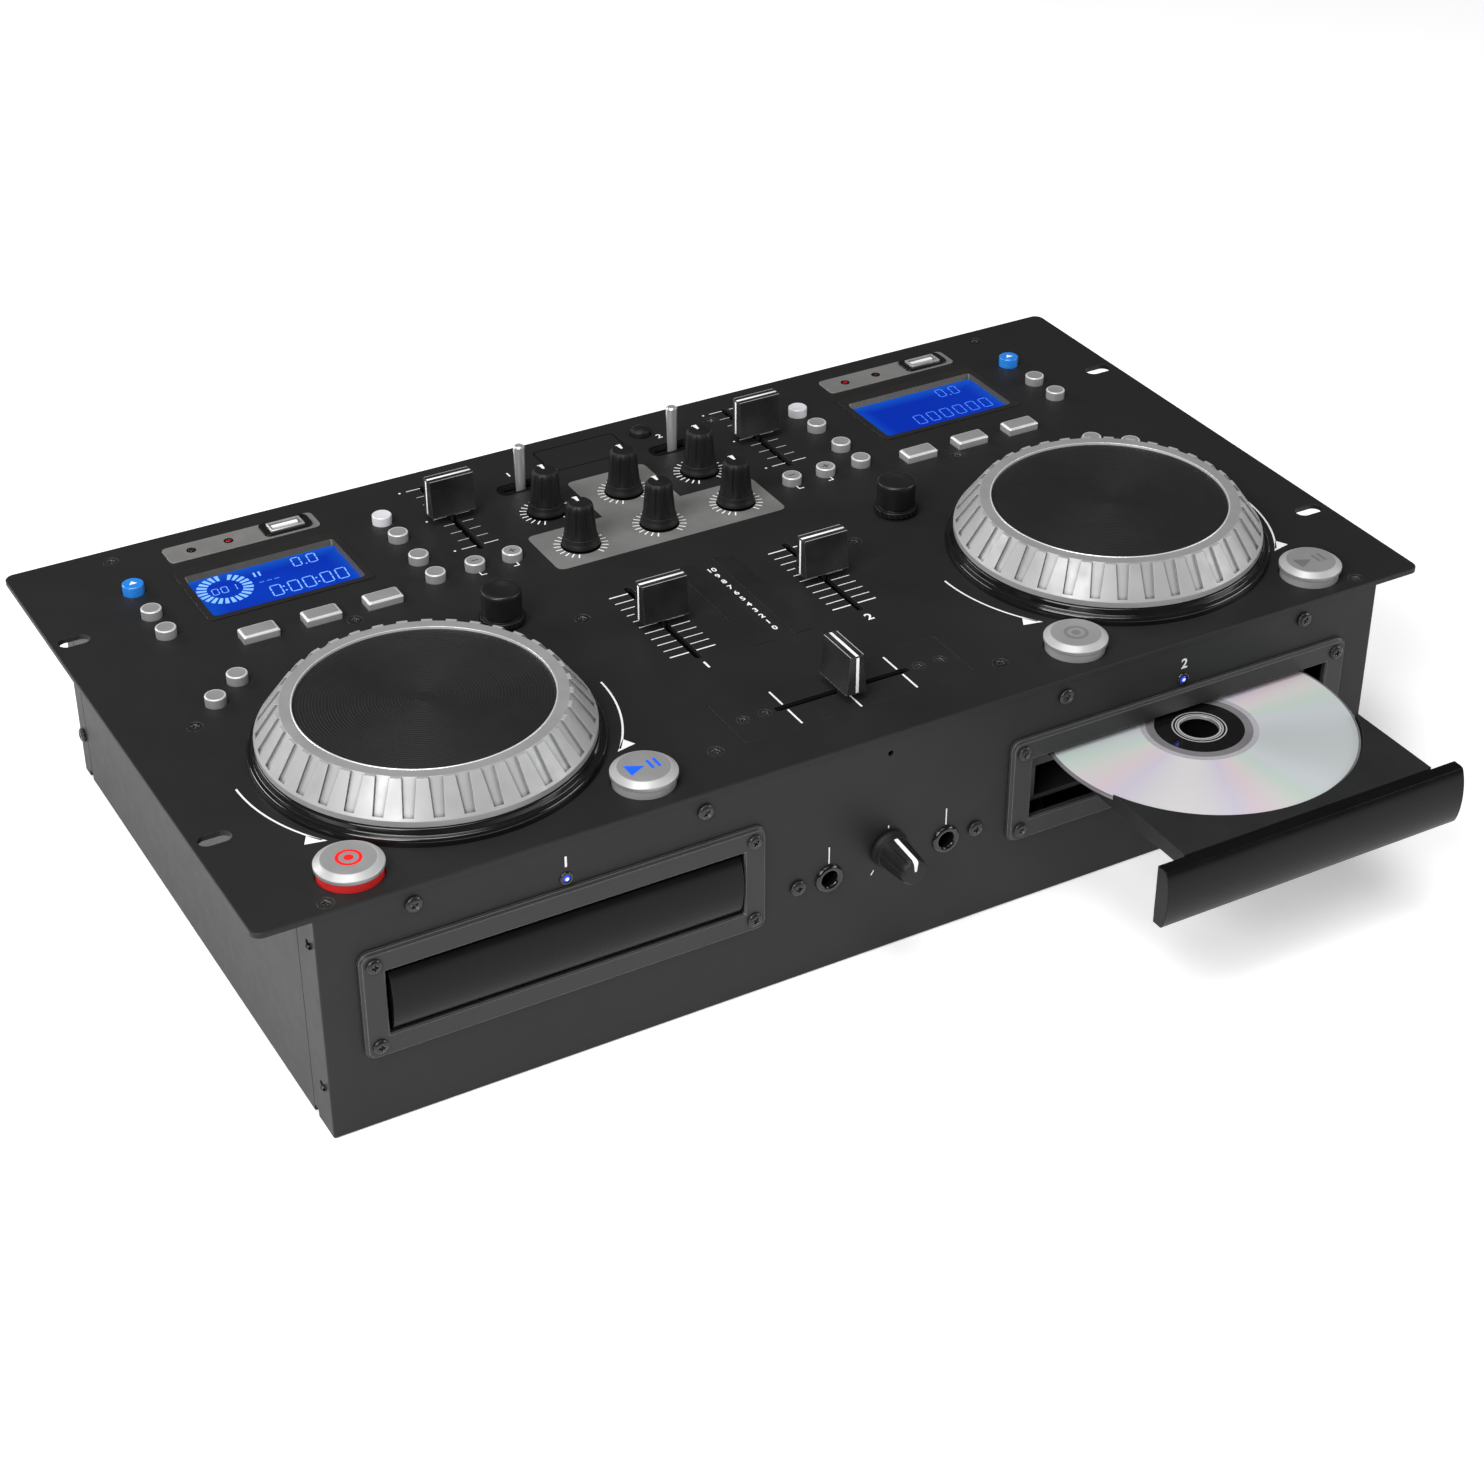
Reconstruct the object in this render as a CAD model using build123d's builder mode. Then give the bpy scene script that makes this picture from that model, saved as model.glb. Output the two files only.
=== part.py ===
from build123d import *
import os
from math import cos, radians, sin

os.makedirs("parts", exist_ok=True)

# Twin disc player and mixer for a 19-inch rack. X runs to the right, Y to the rear, Z up.
# The origin is on the underside, midway along the top panel.

# Driving dimensions, in millimetres
panel_width = 482.6
panel_depth = 263.0
panel_thickness = 2.0
panel_corner = 4.0
body_width = 441.6
body_height = 92.5
body_front = -131.0
body_rear = 129.5
sheet = 1.2
flange_front = 16.5
flange_rear = 9.5

rack_slot_spacing_x = 465.1
rack_slot_spacing_y = 146.1
rack_slot_length = 12.0
rack_slot_width = 6.6

jog_x = 146.0
jog_y = -56.0
jog_base_radius = 63.7
jog_radius = 60.5
jog_shoulder_radius = 52.0
jog_disc_radius = 45.3
jog_height = 20.0
jog_side_top = 8.3
jog_groove_count = 36
jog_groove_depth = 1.05
jog_shaft_radius = 5.0

loader_x = 129.5
loader_z = 51.5
tray_stroke_shown = 81.5
tray_stroke = 134.0
disc_radius = 60.0
disc_thickness = 1.2
disc_hole_radius = 7.5

fader_travel = 52.0
crossfader_travel = 48.0
button_travel = 0.8
running_gap = 0.05

panel_top = body_height + panel_thickness
board_top = 81.6
board_thickness = 1.6
switch_height = 3.5
stem_bottom = board_top + switch_height + 1.0
front_inside = body_front + sheet
rear_inside = body_rear - sheet
sides = {"a": -1, "b": 1}

# Places on the panel, as distance from the centre line and Y
eject_place = (201.0, 95.5)
source_places = [(201.0, 75.2), (201.0, 59.3)]
jog_mode_places = [(189.5, 16.0), (201.8, 5.5)]
loop_places = [(120.6, 42.2), (145.7, 42.2), (170.8, 42.2)]
pitch_place = (96.0, 99.5)
mode_places = [(96.0, 83.5), (96.0, 63.7), (96.0, 47.8)]
bend_places = [(79.2, 48.0), (63.2, 48.0)]
outer_transport = (200.5, -114.4)
inner_transport = (90.5, -114.4)
encoder_place = (87.2, 6.5)
pitch_fader_place = (70.3, 90.0)
channel_fader_place = (35.0, -23.5)
crossfader_place = (0.0, -97.3)
toggle_place = (35.0, 99.0)
knob_column = 35.0
knob_rows = [44.5, 75.0]
dome_place = (29.0, 116.0)
display_place = (149.7, 80.8)
usb_place = (149.7, 114.5)
meter_place = (8.5, -23.1)
crossfader_plate_place = (0.0, -96.8)

display_size = (68.0, 41.5)
usb_plate_size = (63.0, 12.6)
usb_socket_offset = 18.5
usb_led_offsets = [-21.0, -5.5]
meter_size = (8.6, 64.4)
crossfader_plate_size = (97.0, 29.0)

button_radius = 4.0
eject_radius = 4.2
transport_radius = 12.1
loop_size = (14.5, 8.0)
button_clearance = 0.35
button_top = 4.2
eject_top = 4.6
knob_radius = 7.7
knob_top_radius = 5.3
knob_height = 19.0
knob_flute_count = 10
pot_shaft_radius = 3.0
bushing_radius = 3.5
encoder_radius = 7.8
dome_radius = 4.2

bezel_size = (155.2, 44.5)
bezel_depth = 2.2
tray_opening = (137.0, 26.6)
tray_cover_size = (134.6, 24.6)
cover_back = -127.6
tray_half_width = 56.0
tray_bottom = 58.5
tray_top = 64.5
well_floor = 61.5
disc_y_closed = -61.8
jack_x = 25.0
jack_z = 40.0
jack_bore_radius = 3.2
front_knob_z = 45.0
front_led_z = 77.3

panel_screw_places = [
    (201.0, 122.3),
    (214.0, -5.4),
    (214.0, -126.0),
    (135.3, 34.8),
    (60.0, -6.4),
    (60.0, -110.3),
    (60.6, 112.2),
]
crossfader_screw_places = [(41.7, -97.3), (32.6, -97.3)]
front_screw_places = [(185.5, 87.0), (75.5, 86.5), (38.0, 40.4)]
bezel_screw_offsets = (72.5, 17.0)
side_screw_heights = (18.8, 79.1)


def both(places):
    return [(side * x, y) for side in sides.values() for x, y in places]


def mirrored(side, place):
    return (side * place[0], place[1])


def save(name, built):
    built.part.label = name
    export_step(built.part, f"parts/{name}.step")


def radial_plane(x, y, z=panel_top):
    return Plane(origin=(x, y, z), x_dir=(1, 0, 0), z_dir=(0, -1, 0))


def upright(x, y):
    return Axis((x, y, 0), (0, 0, 1))


def dome_curve(radius, rise):
    """The radius of the sphere whose cap has this radius and rise."""
    return (radius**2 + rise**2) / (2 * rise)


def front_plane(y, z=0.0):
    return Plane(origin=(0, y, z), x_dir=(1, 0, 0), z_dir=(0, -1, 0))


# ---------------------------------------------------------------- housing

transport_places = [outer_transport, inner_transport]
round_button_places = source_places + jog_mode_places + [pitch_place] + mode_places + bend_places
knob_places = [(side * knob_column, y) for side in (-1, 0, 1) for y in knob_rows]
rack_slot_y = -1.0

with BuildPart() as top_panel:
    with BuildSketch(Plane.XY.offset(body_height)):
        RectangleRounded(panel_width, panel_depth, panel_corner)
        with Locations((0, rack_slot_y)):
            with GridLocations(rack_slot_spacing_x, rack_slot_spacing_y, 2, 2):
                SlotOverall(rack_slot_length, rack_slot_width, mode=Mode.SUBTRACT)
        with Locations(*both([(jog_x, jog_y)])):
            Circle(12.0, mode=Mode.SUBTRACT)
        with Locations(*both(transport_places)):
            Circle(transport_radius - 0.3, mode=Mode.SUBTRACT)
        with Locations(*both(round_button_places)):
            Circle(button_radius + button_clearance, mode=Mode.SUBTRACT)
        with Locations(*both([eject_place])):
            Circle(eject_radius + button_clearance, mode=Mode.SUBTRACT)
        with Locations(*both(loop_places)):
            Rectangle(loop_size[0] + 0.7, loop_size[1] + 0.7, mode=Mode.SUBTRACT)
        with Locations(dome_place):
            Circle(dome_radius + button_clearance, mode=Mode.SUBTRACT)
        with Locations(*both([encoder_place]), *knob_places):
            Circle(bushing_radius + 0.1, mode=Mode.SUBTRACT)
        with Locations(*both([pitch_fader_place, channel_fader_place])):
            SlotOverall(fader_travel + 7.0, 3.0, rotation=90, mode=Mode.SUBTRACT)
        with Locations(*both([toggle_place])):
            SlotOverall(17.0, 6.0, mode=Mode.SUBTRACT)
        with Locations(*both([display_place])):
            RectangleRounded(display_size[0] - 3.0, display_size[1] - 3.0, 1.5, mode=Mode.SUBTRACT)
        with Locations(*[(side * usb_place[0] + usb_socket_offset, usb_place[1]) for side in sides.values()]):
            Rectangle(15.0, 8.4, mode=Mode.SUBTRACT)
        with Locations(*both([meter_place])):
            Rectangle(meter_size[0] - 2.0, meter_size[1] - 2.0, mode=Mode.SUBTRACT)
        with Locations(crossfader_plate_place):
            RectangleRounded(*crossfader_plate_size, 1.5, mode=Mode.SUBTRACT)
    extrude(amount=panel_thickness)
    chamfer(top_panel.faces().sort_by(Axis.Z)[-1].outer_wire().edges(), 0.3)
    with Locations(*[(x, y, panel_top) for x, y in both(panel_screw_places)]):
        CounterSinkHole(radius=1.7, counter_sink_radius=3.2, depth=panel_thickness, counter_sink_angle=90)
save("top_panel", top_panel)

with BuildPart() as chassis_tray:
    tray_length = rear_inside - front_inside
    middle_y = (rear_inside + front_inside) / 2
    with BuildSketch(Plane(origin=(0, front_inside, 0), x_dir=(1, 0, 0), z_dir=(0, 1, 0))):
        with BuildLine():
            half = body_width / 2 - sheet
            Polyline(
                (-half + 12, -body_height + sheet / 2),
                (-half + sheet / 2, -body_height + sheet / 2),
                (-half + sheet / 2, -sheet / 2),
                (half - sheet / 2, -sheet / 2),
                (half - sheet / 2, -body_height + sheet / 2),
                (half - 12, -body_height + sheet / 2),
            )
            offset(amount=sheet / 2, side=Side.BOTH, kind=Kind.INTERSECTION)
        make_face()
    extrude(amount=tray_length)
    for side in sides.values():
        side_length = body_rear - flange_rear - (body_front + flange_front) - 1.0
        with BuildSketch(Plane.YZ.offset(side * (body_width / 2 - sheet))):
            with Locations((body_front + flange_front + 0.5 + side_length / 2, body_height / 2 - 0.1)):
                Rectangle(side_length, body_height - 0.2)
        extrude(amount=side * sheet)
    with Locations(*[(x, y, body_height) for x, y in both(panel_screw_places[1:3])]):
        Hole(radius=1.5, depth=sheet)
    with BuildSketch(Plane.XY.offset(body_height - sheet)):
        with Locations(*both([outer_transport])):
            Circle(transport_radius + 1.5)
    extrude(amount=sheet, mode=Mode.SUBTRACT)
save("chassis_tray", chassis_tray)


def flanged_sheet(face_y, inward, depth):
    """A face sheet with a side flange folded round each end of the body."""
    with BuildPart() as folded:
        with BuildSketch(Plane.XY):
            with Locations((0, face_y + inward * sheet / 2)):
                Rectangle(body_width, sheet)
            with Locations(*[(side * (body_width - sheet) / 2, face_y + inward * depth / 2) for side in (-1, 1)]):
                Rectangle(sheet, depth)
        extrude(amount=body_height - 0.2)
        corners = folded.edges().filter_by(Axis.Z).filter_by(lambda edge: abs(edge.center().Y - face_y) < 0.01)
        fillet(corners, 0.8)
    return folded.part


front_sheet = flanged_sheet(body_front, 1, flange_front)
rear_sheet = flanged_sheet(body_rear, -1, flange_rear)

with BuildPart() as front_panel:
    add(front_sheet)
    with BuildSketch(front_plane(body_front)):
        with Locations(*both([(loader_x, loader_z)])):
            Rectangle(tray_opening[0] + 1.0, tray_opening[1] + 1.0)
        with Locations(*both([(jack_x, jack_z)]), (0, front_knob_z)):
            Circle(4.6)
        with Locations(*both([(loader_x, front_led_z)])):
            Circle(1.6)
        with Locations((0, 86.0)):
            Circle(1.2)
        with Locations(*both(front_screw_places)):
            Circle(1.6)
        for side in sides.values():
            with Locations((side * loader_x, loader_z)):
                with GridLocations(2 * bezel_screw_offsets[0], 2 * bezel_screw_offsets[1], 2, 2):
                    Circle(1.6)
    extrude(amount=-sheet, mode=Mode.SUBTRACT)
    with BuildSketch(Plane.YZ.offset(-body_width / 2)):
        with Locations(*[(body_front + 7.2, z) for z in side_screw_heights]):
            Circle(1.6)
        with Locations((body_front + flange_front, 0)):
            Rectangle(6.0, 6.0)
    extrude(amount=body_width, mode=Mode.SUBTRACT)
save("front_panel", front_panel)

rca_columns = [-96.0 + 18.0 * i for i in range(6)]
rca_rows = [44.0, 62.0]
inlet_place = (150.0, 40.0)
switch_place = (190.0, 40.0)

with BuildPart() as rear_panel:
    add(rear_sheet)
    with BuildSketch(front_plane(body_rear)):
        with Locations(*[(x, z) for x in rca_columns for z in rca_rows]):
            Circle(5.0)
        with Locations(inlet_place):
            Rectangle(28.0, 20.6)
        with Locations(switch_place):
            Rectangle(19.4, 13.4)
    extrude(amount=sheet, mode=Mode.SUBTRACT)
    with BuildSketch(Plane.YZ.offset(-body_width / 2)):
        with Locations(*[(body_rear - 5.0, z) for z in side_screw_heights]):
            Circle(1.6)
        with Locations((body_rear - flange_rear, 0)):
            Rectangle(6.0, 6.0)
    extrude(amount=body_width, mode=Mode.SUBTRACT)
save("rear_panel", rear_panel)

with BuildPart() as tray_bezels:
    for side in sides.values():
        with BuildSketch(front_plane(body_front)):
            with Locations((side * loader_x, loader_z)):
                RectangleRounded(*bezel_size, 4.0)
                Rectangle(*tray_opening, mode=Mode.SUBTRACT)
                with GridLocations(2 * bezel_screw_offsets[0], 2 * bezel_screw_offsets[1], 2, 2):
                    Circle(1.6, mode=Mode.SUBTRACT)
        extrude(amount=bezel_depth)
    for face in tray_bezels.faces().group_by(Axis.Y)[0]:
        chamfer(face.outer_wire().edges(), 1.0)
        chamfer(face.inner_wires().sort_by(SortBy.LENGTH)[-1].edges(), 0.5)
save("tray_bezels", tray_bezels)

# ---------------------------------------------------------------- jog wheels

with BuildPart() as jog_bases:
    for side in sides.values():
        with BuildSketch(radial_plane(side * jog_x, jog_y)):
            with BuildLine():
                Polyline((9.0, 0), (jog_base_radius, 0), (jog_base_radius, 1.8))
                RadiusArc((jog_base_radius, 1.8), (62.5, 3.0), -1.2)
                Polyline((62.5, 3.0), (61.7, 3.1), (61.0, 5.6), (58.0, 5.6), (57.0, 1.5), (8.5, 1.5), (8.5, 5.0))
                Polyline((8.5, 5.0), (jog_shaft_radius + running_gap, 5.0))
                Polyline((jog_shaft_radius + running_gap, 5.0), (jog_shaft_radius + running_gap, -11.0))
                Polyline((jog_shaft_radius + running_gap, -11.0), (9.0, -11.0), (9.0, 0))
            make_face()
        revolve(axis=upright(side * jog_x, jog_y))
save("jog_bases", jog_bases)


def jog_groove_planes(x, y):
    """One plane on the wheel's cone for each finger groove, its Y running up the slope."""
    run = jog_radius - jog_shoulder_radius
    rise = jog_height - jog_side_top
    slope = (run**2 + rise**2) ** 0.5
    middle = (jog_radius + jog_shoulder_radius) / 2
    planes = []
    for i in range(jog_groove_count):
        turn = radians(360 / jog_groove_count * i)
        out = Vector(cos(turn), sin(turn), 0)
        normal = out * (rise / slope) + Vector(0, 0, run / slope)
        centre = Vector(x, y, panel_top + jog_side_top + rise / 2) + out * middle
        planes.append(Plane(origin=centre, x_dir=(-sin(turn), cos(turn), 0), z_dir=normal))
    return planes


def jog_wheel(name, side):
    """A dished wheel on its shaft: a recessed disc in a lipped rim with grooves cut down its slope."""
    x, y = side * jog_x, jog_y
    with BuildPart() as wheel:
        with BuildSketch(radial_plane(x, y)):
            with BuildLine():
                Polyline(
                    (0, 19.4),
                    (jog_disc_radius, 19.4),
                    (jog_disc_radius + 0.3, jog_height + 0.3),
                    (jog_disc_radius + 1.1, jog_height + 0.3),
                    (jog_disc_radius + 1.4, jog_height),
                    (jog_shoulder_radius, jog_height),
                    (jog_radius, jog_side_top),
                    (jog_radius, 6.0),
                    (jog_radius - 3, 6.0),
                    (jog_shoulder_radius - 3, 16.8),
                    (jog_shaft_radius + 3, 16.8),
                    (jog_shaft_radius + 3, 5.6),
                    (jog_shaft_radius, 5.6),
                    (jog_shaft_radius, -13.0),
                    (0, -13.0),
                    (0, 19.4),
                )
            make_face()
        revolve(axis=upright(x, y))
        with BuildSketch(*[plane.offset(-jog_groove_depth) for plane in jog_groove_planes(x, y)]):
            with Locations((0, 1.6)):
                Trapezoid(3.7, 15.2, 92.5)
        extrude(amount=2 * jog_groove_depth, mode=Mode.SUBTRACT)
        with BuildSketch(Plane.XY.offset(panel_top - 12.4)):
            with Locations((x, y)):
                Circle(7.5)
        extrude(amount=1.0)
    save(name, wheel)


for deck, side in sides.items():
    jog_wheel(f"jog_wheel_{deck}", side)

# ---------------------------------------------------------------- buttons and controls


def round_button(radius, top):
    """A cap through the panel, its retaining flange and the stem over its switch."""
    with BuildPart() as button:
        with BuildSketch(radial_plane(0, 0)):
            with BuildLine():
                Polyline(
                    (0, top),
                    (radius - 0.5, top),
                    (radius, top - 0.5),
                    (radius, -2.4),
                    (radius + 0.8, -2.4),
                    (radius + 0.8, -3.4),
                    (1.5, -3.4),
                    (1.5, stem_bottom - panel_top),
                    (0, stem_bottom - panel_top),
                    (0, top),
                )
            make_face()
        revolve(axis=Axis.Z)
    return button.part


def button_group(name, side, places, radius=button_radius, top=button_top):
    button = round_button(radius, top)
    with BuildPart() as group:
        with Locations(*[mirrored(side, place) for place in places]):
            add(button)
    save(name, group)


def loop_buttons(name, side):
    with BuildPart() as group:
        with BuildSketch(Plane.XY.offset(panel_top - 3.4)):
            with Locations(*[mirrored(side, place) for place in loop_places]):
                Rectangle(loop_size[0] + 1.6, loop_size[1] + 1.6)
        extrude(amount=1.0)
        with BuildSketch(Plane.XY.offset(panel_top - 2.6)):
            with Locations(*[mirrored(side, place) for place in loop_places]):
                Rectangle(*loop_size)
        extrude(amount=6.2)
        for face in group.faces().filter_by(Axis.Z).group_by(Axis.Z)[-1]:
            chamfer(face.edges(), 0.7)
        with BuildSketch(Plane.XY.offset(stem_bottom)):
            with Locations(*[mirrored(side, place) for place in loop_places]):
                Circle(1.5)
        extrude(amount=panel_top - 3.4 - stem_bottom)
    save(name, group)


def transport_button(name, x, y):
    with BuildPart() as button:
        with BuildSketch(radial_plane(x, y)):
            with BuildLine():
                Polyline(
                    (0, 6.2),
                    (9.8, 6.2),
                    (transport_radius, 4.7),
                    (transport_radius, 3.2),
                    (transport_radius - 0.8, 3.0),
                    (transport_radius - 0.8, -2.4),
                    (transport_radius + 0.6, -2.4),
                    (transport_radius + 0.6, -3.4),
                    (3.0, -3.4),
                    (3.0, stem_bottom - panel_top),
                    (0, stem_bottom - panel_top),
                    (0, 6.2),
                )
            make_face()
        revolve(axis=upright(x, y))
    save(name, button)


cue_places = {"a": outer_transport, "b": inner_transport}
play_places = {"a": inner_transport, "b": outer_transport}
for deck, side in sides.items():
    transport_button(f"cue_button_{deck}", *mirrored(side, cue_places[deck]))
    transport_button(f"play_button_{deck}", *mirrored(side, play_places[deck]))
    button_group(f"eject_button_{deck}", side, [eject_place], eject_radius, eject_top)
    button_group(f"pitch_button_{deck}", side, [pitch_place])
    button_group(f"mode_buttons_{deck}", side, mode_places)
    button_group(f"bend_buttons_{deck}", side, bend_places)
    button_group(f"outer_buttons_{deck}", side, source_places + jog_mode_places)
    loop_buttons(f"loop_buttons_{deck}", side)

with BuildPart() as dome_button:
    with BuildSketch(radial_plane(*dome_place)):
        with BuildLine():
            Polyline((0, stem_bottom - panel_top), (1.5, stem_bottom - panel_top), (1.5, -3.4))
            Polyline((1.5, -3.4), (dome_radius + 0.8, -3.4), (dome_radius + 0.8, -2.4), (dome_radius, -2.4))
            Polyline((dome_radius, -2.4), (dome_radius, 1.6))
            RadiusArc((dome_radius, 1.6), (0, 3.6), -dome_curve(dome_radius, 2.0))
            Line((0, 3.6), (0, stem_bottom - panel_top))
        make_face()
    revolve(axis=upright(*dome_place))
save("dome_button", dome_button)


def rotary_knob(name, plane, pointer):
    """A fluted tapered knob with a skirt, and the shaft it turns in its bushing."""
    with BuildPart() as knob:
        with BuildSketch(plane.offset(0.9)):
            Circle(knob_radius)
        with BuildSketch(plane.offset(3.6)):
            Circle(knob_radius - 0.7)
        loft()
        with BuildSketch(plane.offset(3.6)):
            Circle(knob_radius - 1.1)
        with BuildSketch(plane.offset(knob_height)):
            Circle(knob_top_radius)
        loft()
        chamfer(knob.edges().filter_by(GeomType.CIRCLE).sort_by(Axis(plane.origin, plane.z_dir))[-1], 0.5)
        with BuildSketch(plane.offset(5.0)):
            with PolarLocations(knob_radius + 0.15, knob_flute_count):
                Circle(1.5)
        extrude(amount=knob_height, mode=Mode.SUBTRACT)
        with BuildSketch(plane.offset(0.9)):
            Circle(bushing_radius + 1.5)
        extrude(amount=6.0, mode=Mode.SUBTRACT)
        with BuildSketch(Plane(origin=plane.origin, x_dir=plane.x_dir, z_dir=pointer).offset(1.8)):
            with Locations((0, -knob_height)):
                Rectangle(1.2, 1.0)
        extrude(amount=knob_radius, mode=Mode.SUBTRACT)
        with BuildSketch(plane.offset(-9.0)):
            Circle(pot_shaft_radius)
        extrude(amount=16.5)
    save(name, knob)


def panel_plane(x, y):
    return Plane(origin=(x, y, panel_top), x_dir=(1, 0, 0), z_dir=(0, 0, 1))


knob_names = {
    "mic_knob": (-knob_column, knob_rows[1]),
    "master_knob": (0, knob_rows[1]),
    "cue_level_knob": (knob_column, knob_rows[1]),
    "low_knob": (-knob_column, knob_rows[0]),
    "mid_knob": (0, knob_rows[0]),
    "high_knob": (knob_column, knob_rows[0]),
}
for name, place in knob_names.items():
    rotary_knob(name, panel_plane(*place), (0, 1, 0))
rotary_knob("cue_mix_knob", front_plane(body_front, front_knob_z), (0, 0, 1))


def encoder(name, x, y):
    with BuildPart() as knob:
        with BuildSketch(radial_plane(x, y)):
            with BuildLine():
                Polyline((0, 13.2), (3.5, 13.2))
                RadiusArc((3.5, 13.2), (encoder_radius - 1.3, 14.6), 6.0)
                RadiusArc((encoder_radius - 1.3, 14.6), (encoder_radius, 13.4), 1.3)
                Polyline((encoder_radius, 13.4), (encoder_radius, 4.0), (encoder_radius - 0.5, 3.6))
                Polyline((encoder_radius - 0.5, 3.6), (encoder_radius + 0.7, 3.2), (encoder_radius + 0.7, 1.0))
                Polyline((encoder_radius + 0.7, 1.0), (bushing_radius + 1.5, 1.0), (bushing_radius + 1.5, 6.0))
                Polyline((bushing_radius + 1.5, 6.0), (pot_shaft_radius, 6.0), (pot_shaft_radius, -9.0), (0, -9.0))
                Line((0, -9.0), (0, 13.2))
            make_face()
        revolve(axis=upright(x, y))
        with BuildSketch(Plane.XY.offset(panel_top + 0.5)):
            with Locations((x, y)):
                with PolarLocations(encoder_radius + 0.9, 24):
                    Circle(0.5)
        extrude(amount=2.6, mode=Mode.SUBTRACT)
    save(name, knob)


for deck, side in sides.items():
    encoder(f"encoder_{deck}", *mirrored(side, encoder_place))

cap_length = 19.0
cap_bottom = 3.5
cap_top = 19.0
cap_waist = 5.6
cap_foot = 8.8


def fader_cap(name, x, y, along_y):
    """A saddle-shaped cap with hollow flanks, on a blade that drops through its slot."""
    across = (0, 1, 0) if along_y else (1, 0, 0)
    length = (1, 0, 0) if along_y else (0, -1, 0)
    with BuildPart() as cap:
        with BuildSketch(Plane(origin=(x, y, panel_top), x_dir=across, z_dir=length)):
            with BuildLine():
                half_foot, half_waist = cap_foot / 2, cap_waist / 2
                Line((-half_foot, cap_bottom), (half_foot, cap_bottom))
                RadiusArc((half_foot, cap_bottom), (half_waist, cap_top - 0.6), 45)
                Polyline((half_waist, cap_top - 0.6), (half_waist - 0.6, cap_top))
                Line((half_waist - 0.6, cap_top), (0.6 - half_waist, cap_top))
                Polyline((0.6 - half_waist, cap_top), (-half_waist, cap_top - 0.6))
                RadiusArc((-half_waist, cap_top - 0.6), (-half_foot, cap_bottom), 45)
            make_face()
        extrude(amount=cap_length / 2, both=True)
        blade = (1.2, 4.0) if along_y else (4.0, 1.2)
        with BuildSketch(Plane.XY.offset(panel_top - 9.0)):
            with Locations((x, y)):
                Rectangle(*blade)
        extrude(amount=9.0 + cap_bottom)
    save(name, cap)


for deck, side in sides.items():
    fader_cap(f"pitch_fader_{deck}", *mirrored(side, pitch_fader_place), True)
    fader_cap(f"channel_fader_{deck}", *mirrored(side, channel_fader_place), True)
fader_cap("crossfader", *crossfader_place, False)

toggle_pivot = panel_top - 5.5
toggle_ball_radius = 2.4
toggle_axle_radius = 1.0
toggle_neck_radii = (1.3, 1.5)
toggle_tip_radius = 2.4
toggle_tip = 24.5


def toggle(name, x, y):
    """A chrome lever that flares towards its domed tip, with a ball and an axle in the switch under the panel."""
    lower, upper = [(radius, (toggle_ball_radius**2 - radius**2) ** 0.5) for radius in toggle_neck_radii]
    with BuildPart() as lever:
        with BuildSketch(radial_plane(x, y, toggle_pivot)):
            with BuildLine():
                Polyline((0, -6.0), (lower[0], -6.0), (lower[0], -lower[1]))
                RadiusArc((lower[0], -lower[1]), upper, -toggle_ball_radius)
                Line(upper, (toggle_tip_radius, toggle_tip - 1.3))
                RadiusArc((toggle_tip_radius, toggle_tip - 1.3), (0, toggle_tip), -dome_curve(toggle_tip_radius, 1.3))
                Line((0, toggle_tip), (0, -6.0))
            make_face()
        revolve(axis=upright(x, y))
        with BuildSketch(front_plane(y)):
            with Locations((x, toggle_pivot)):
                Circle(toggle_axle_radius)
        extrude(amount=3.6, both=True)
    save(name, lever)


for deck, side in sides.items():
    toggle(f"toggle_{deck}", *mirrored(side, toggle_place))

# ---------------------------------------------------------------- panel fittings

with BuildPart() as crossfader_plate:
    with BuildSketch(Plane.XY.offset(body_height + 0.2)):
        with Locations(crossfader_plate_place):
            RectangleRounded(crossfader_plate_size[0] - 0.4, crossfader_plate_size[1] - 0.4, 1.4)
        with Locations(crossfader_place):
            SlotOverall(crossfader_travel + 9.0, 3.0, mode=Mode.SUBTRACT)
    extrude(amount=panel_thickness - 0.2)
    with Locations(*[(x, y, panel_top) for x, y in both(crossfader_screw_places)]):
        CounterSinkHole(radius=1.4, counter_sink_radius=2.6, depth=panel_thickness, counter_sink_angle=90)
save("crossfader_plate", crossfader_plate)

lcd_size = (60.0, 30.0)
lcd_offset = -1.8

with BuildPart() as display_windows:
    for side in sides.values():
        x, y = mirrored(side, display_place)
        with BuildSketch(Plane.XY.offset(panel_top)):
            with Locations((x, y)):
                RectangleRounded(*display_size, 2.0)
        extrude(amount=0.5)
        with BuildSketch(Plane.XY.offset(panel_top - 5.5)):
            with Locations((x, y)):
                RectangleRounded(display_size[0] - 3.6, display_size[1] - 3.6, 1.5)
        extrude(amount=5.5)
        with BuildSketch(Plane.XY.offset(panel_top + 0.5)):
            with Locations((x, y + lcd_offset / 2)):
                Rectangle(lcd_size[0] + 4.0, lcd_size[1] + 4.5)
        with BuildSketch(Plane.XY.offset(panel_top - 1.6)):
            with Locations((x, y + lcd_offset)):
                Rectangle(*lcd_size)
        loft(mode=Mode.SUBTRACT)
        meter_x, meter_y = mirrored(side, meter_place)
        with BuildSketch(Plane.XY.offset(panel_top - 4.0)):
            with Locations((meter_x, meter_y)):
                Rectangle(meter_size[0] - 2.4, meter_size[1] - 2.4)
        extrude(amount=4.0)
        with BuildSketch(Plane.XY.offset(panel_top)):
            with Locations((meter_x, meter_y)):
                Rectangle(*meter_size)
        extrude(amount=0.3)
save("display_windows", display_windows)

usb_mouth = (12.5, 5.1)
usb_depth = 11.0

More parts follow.
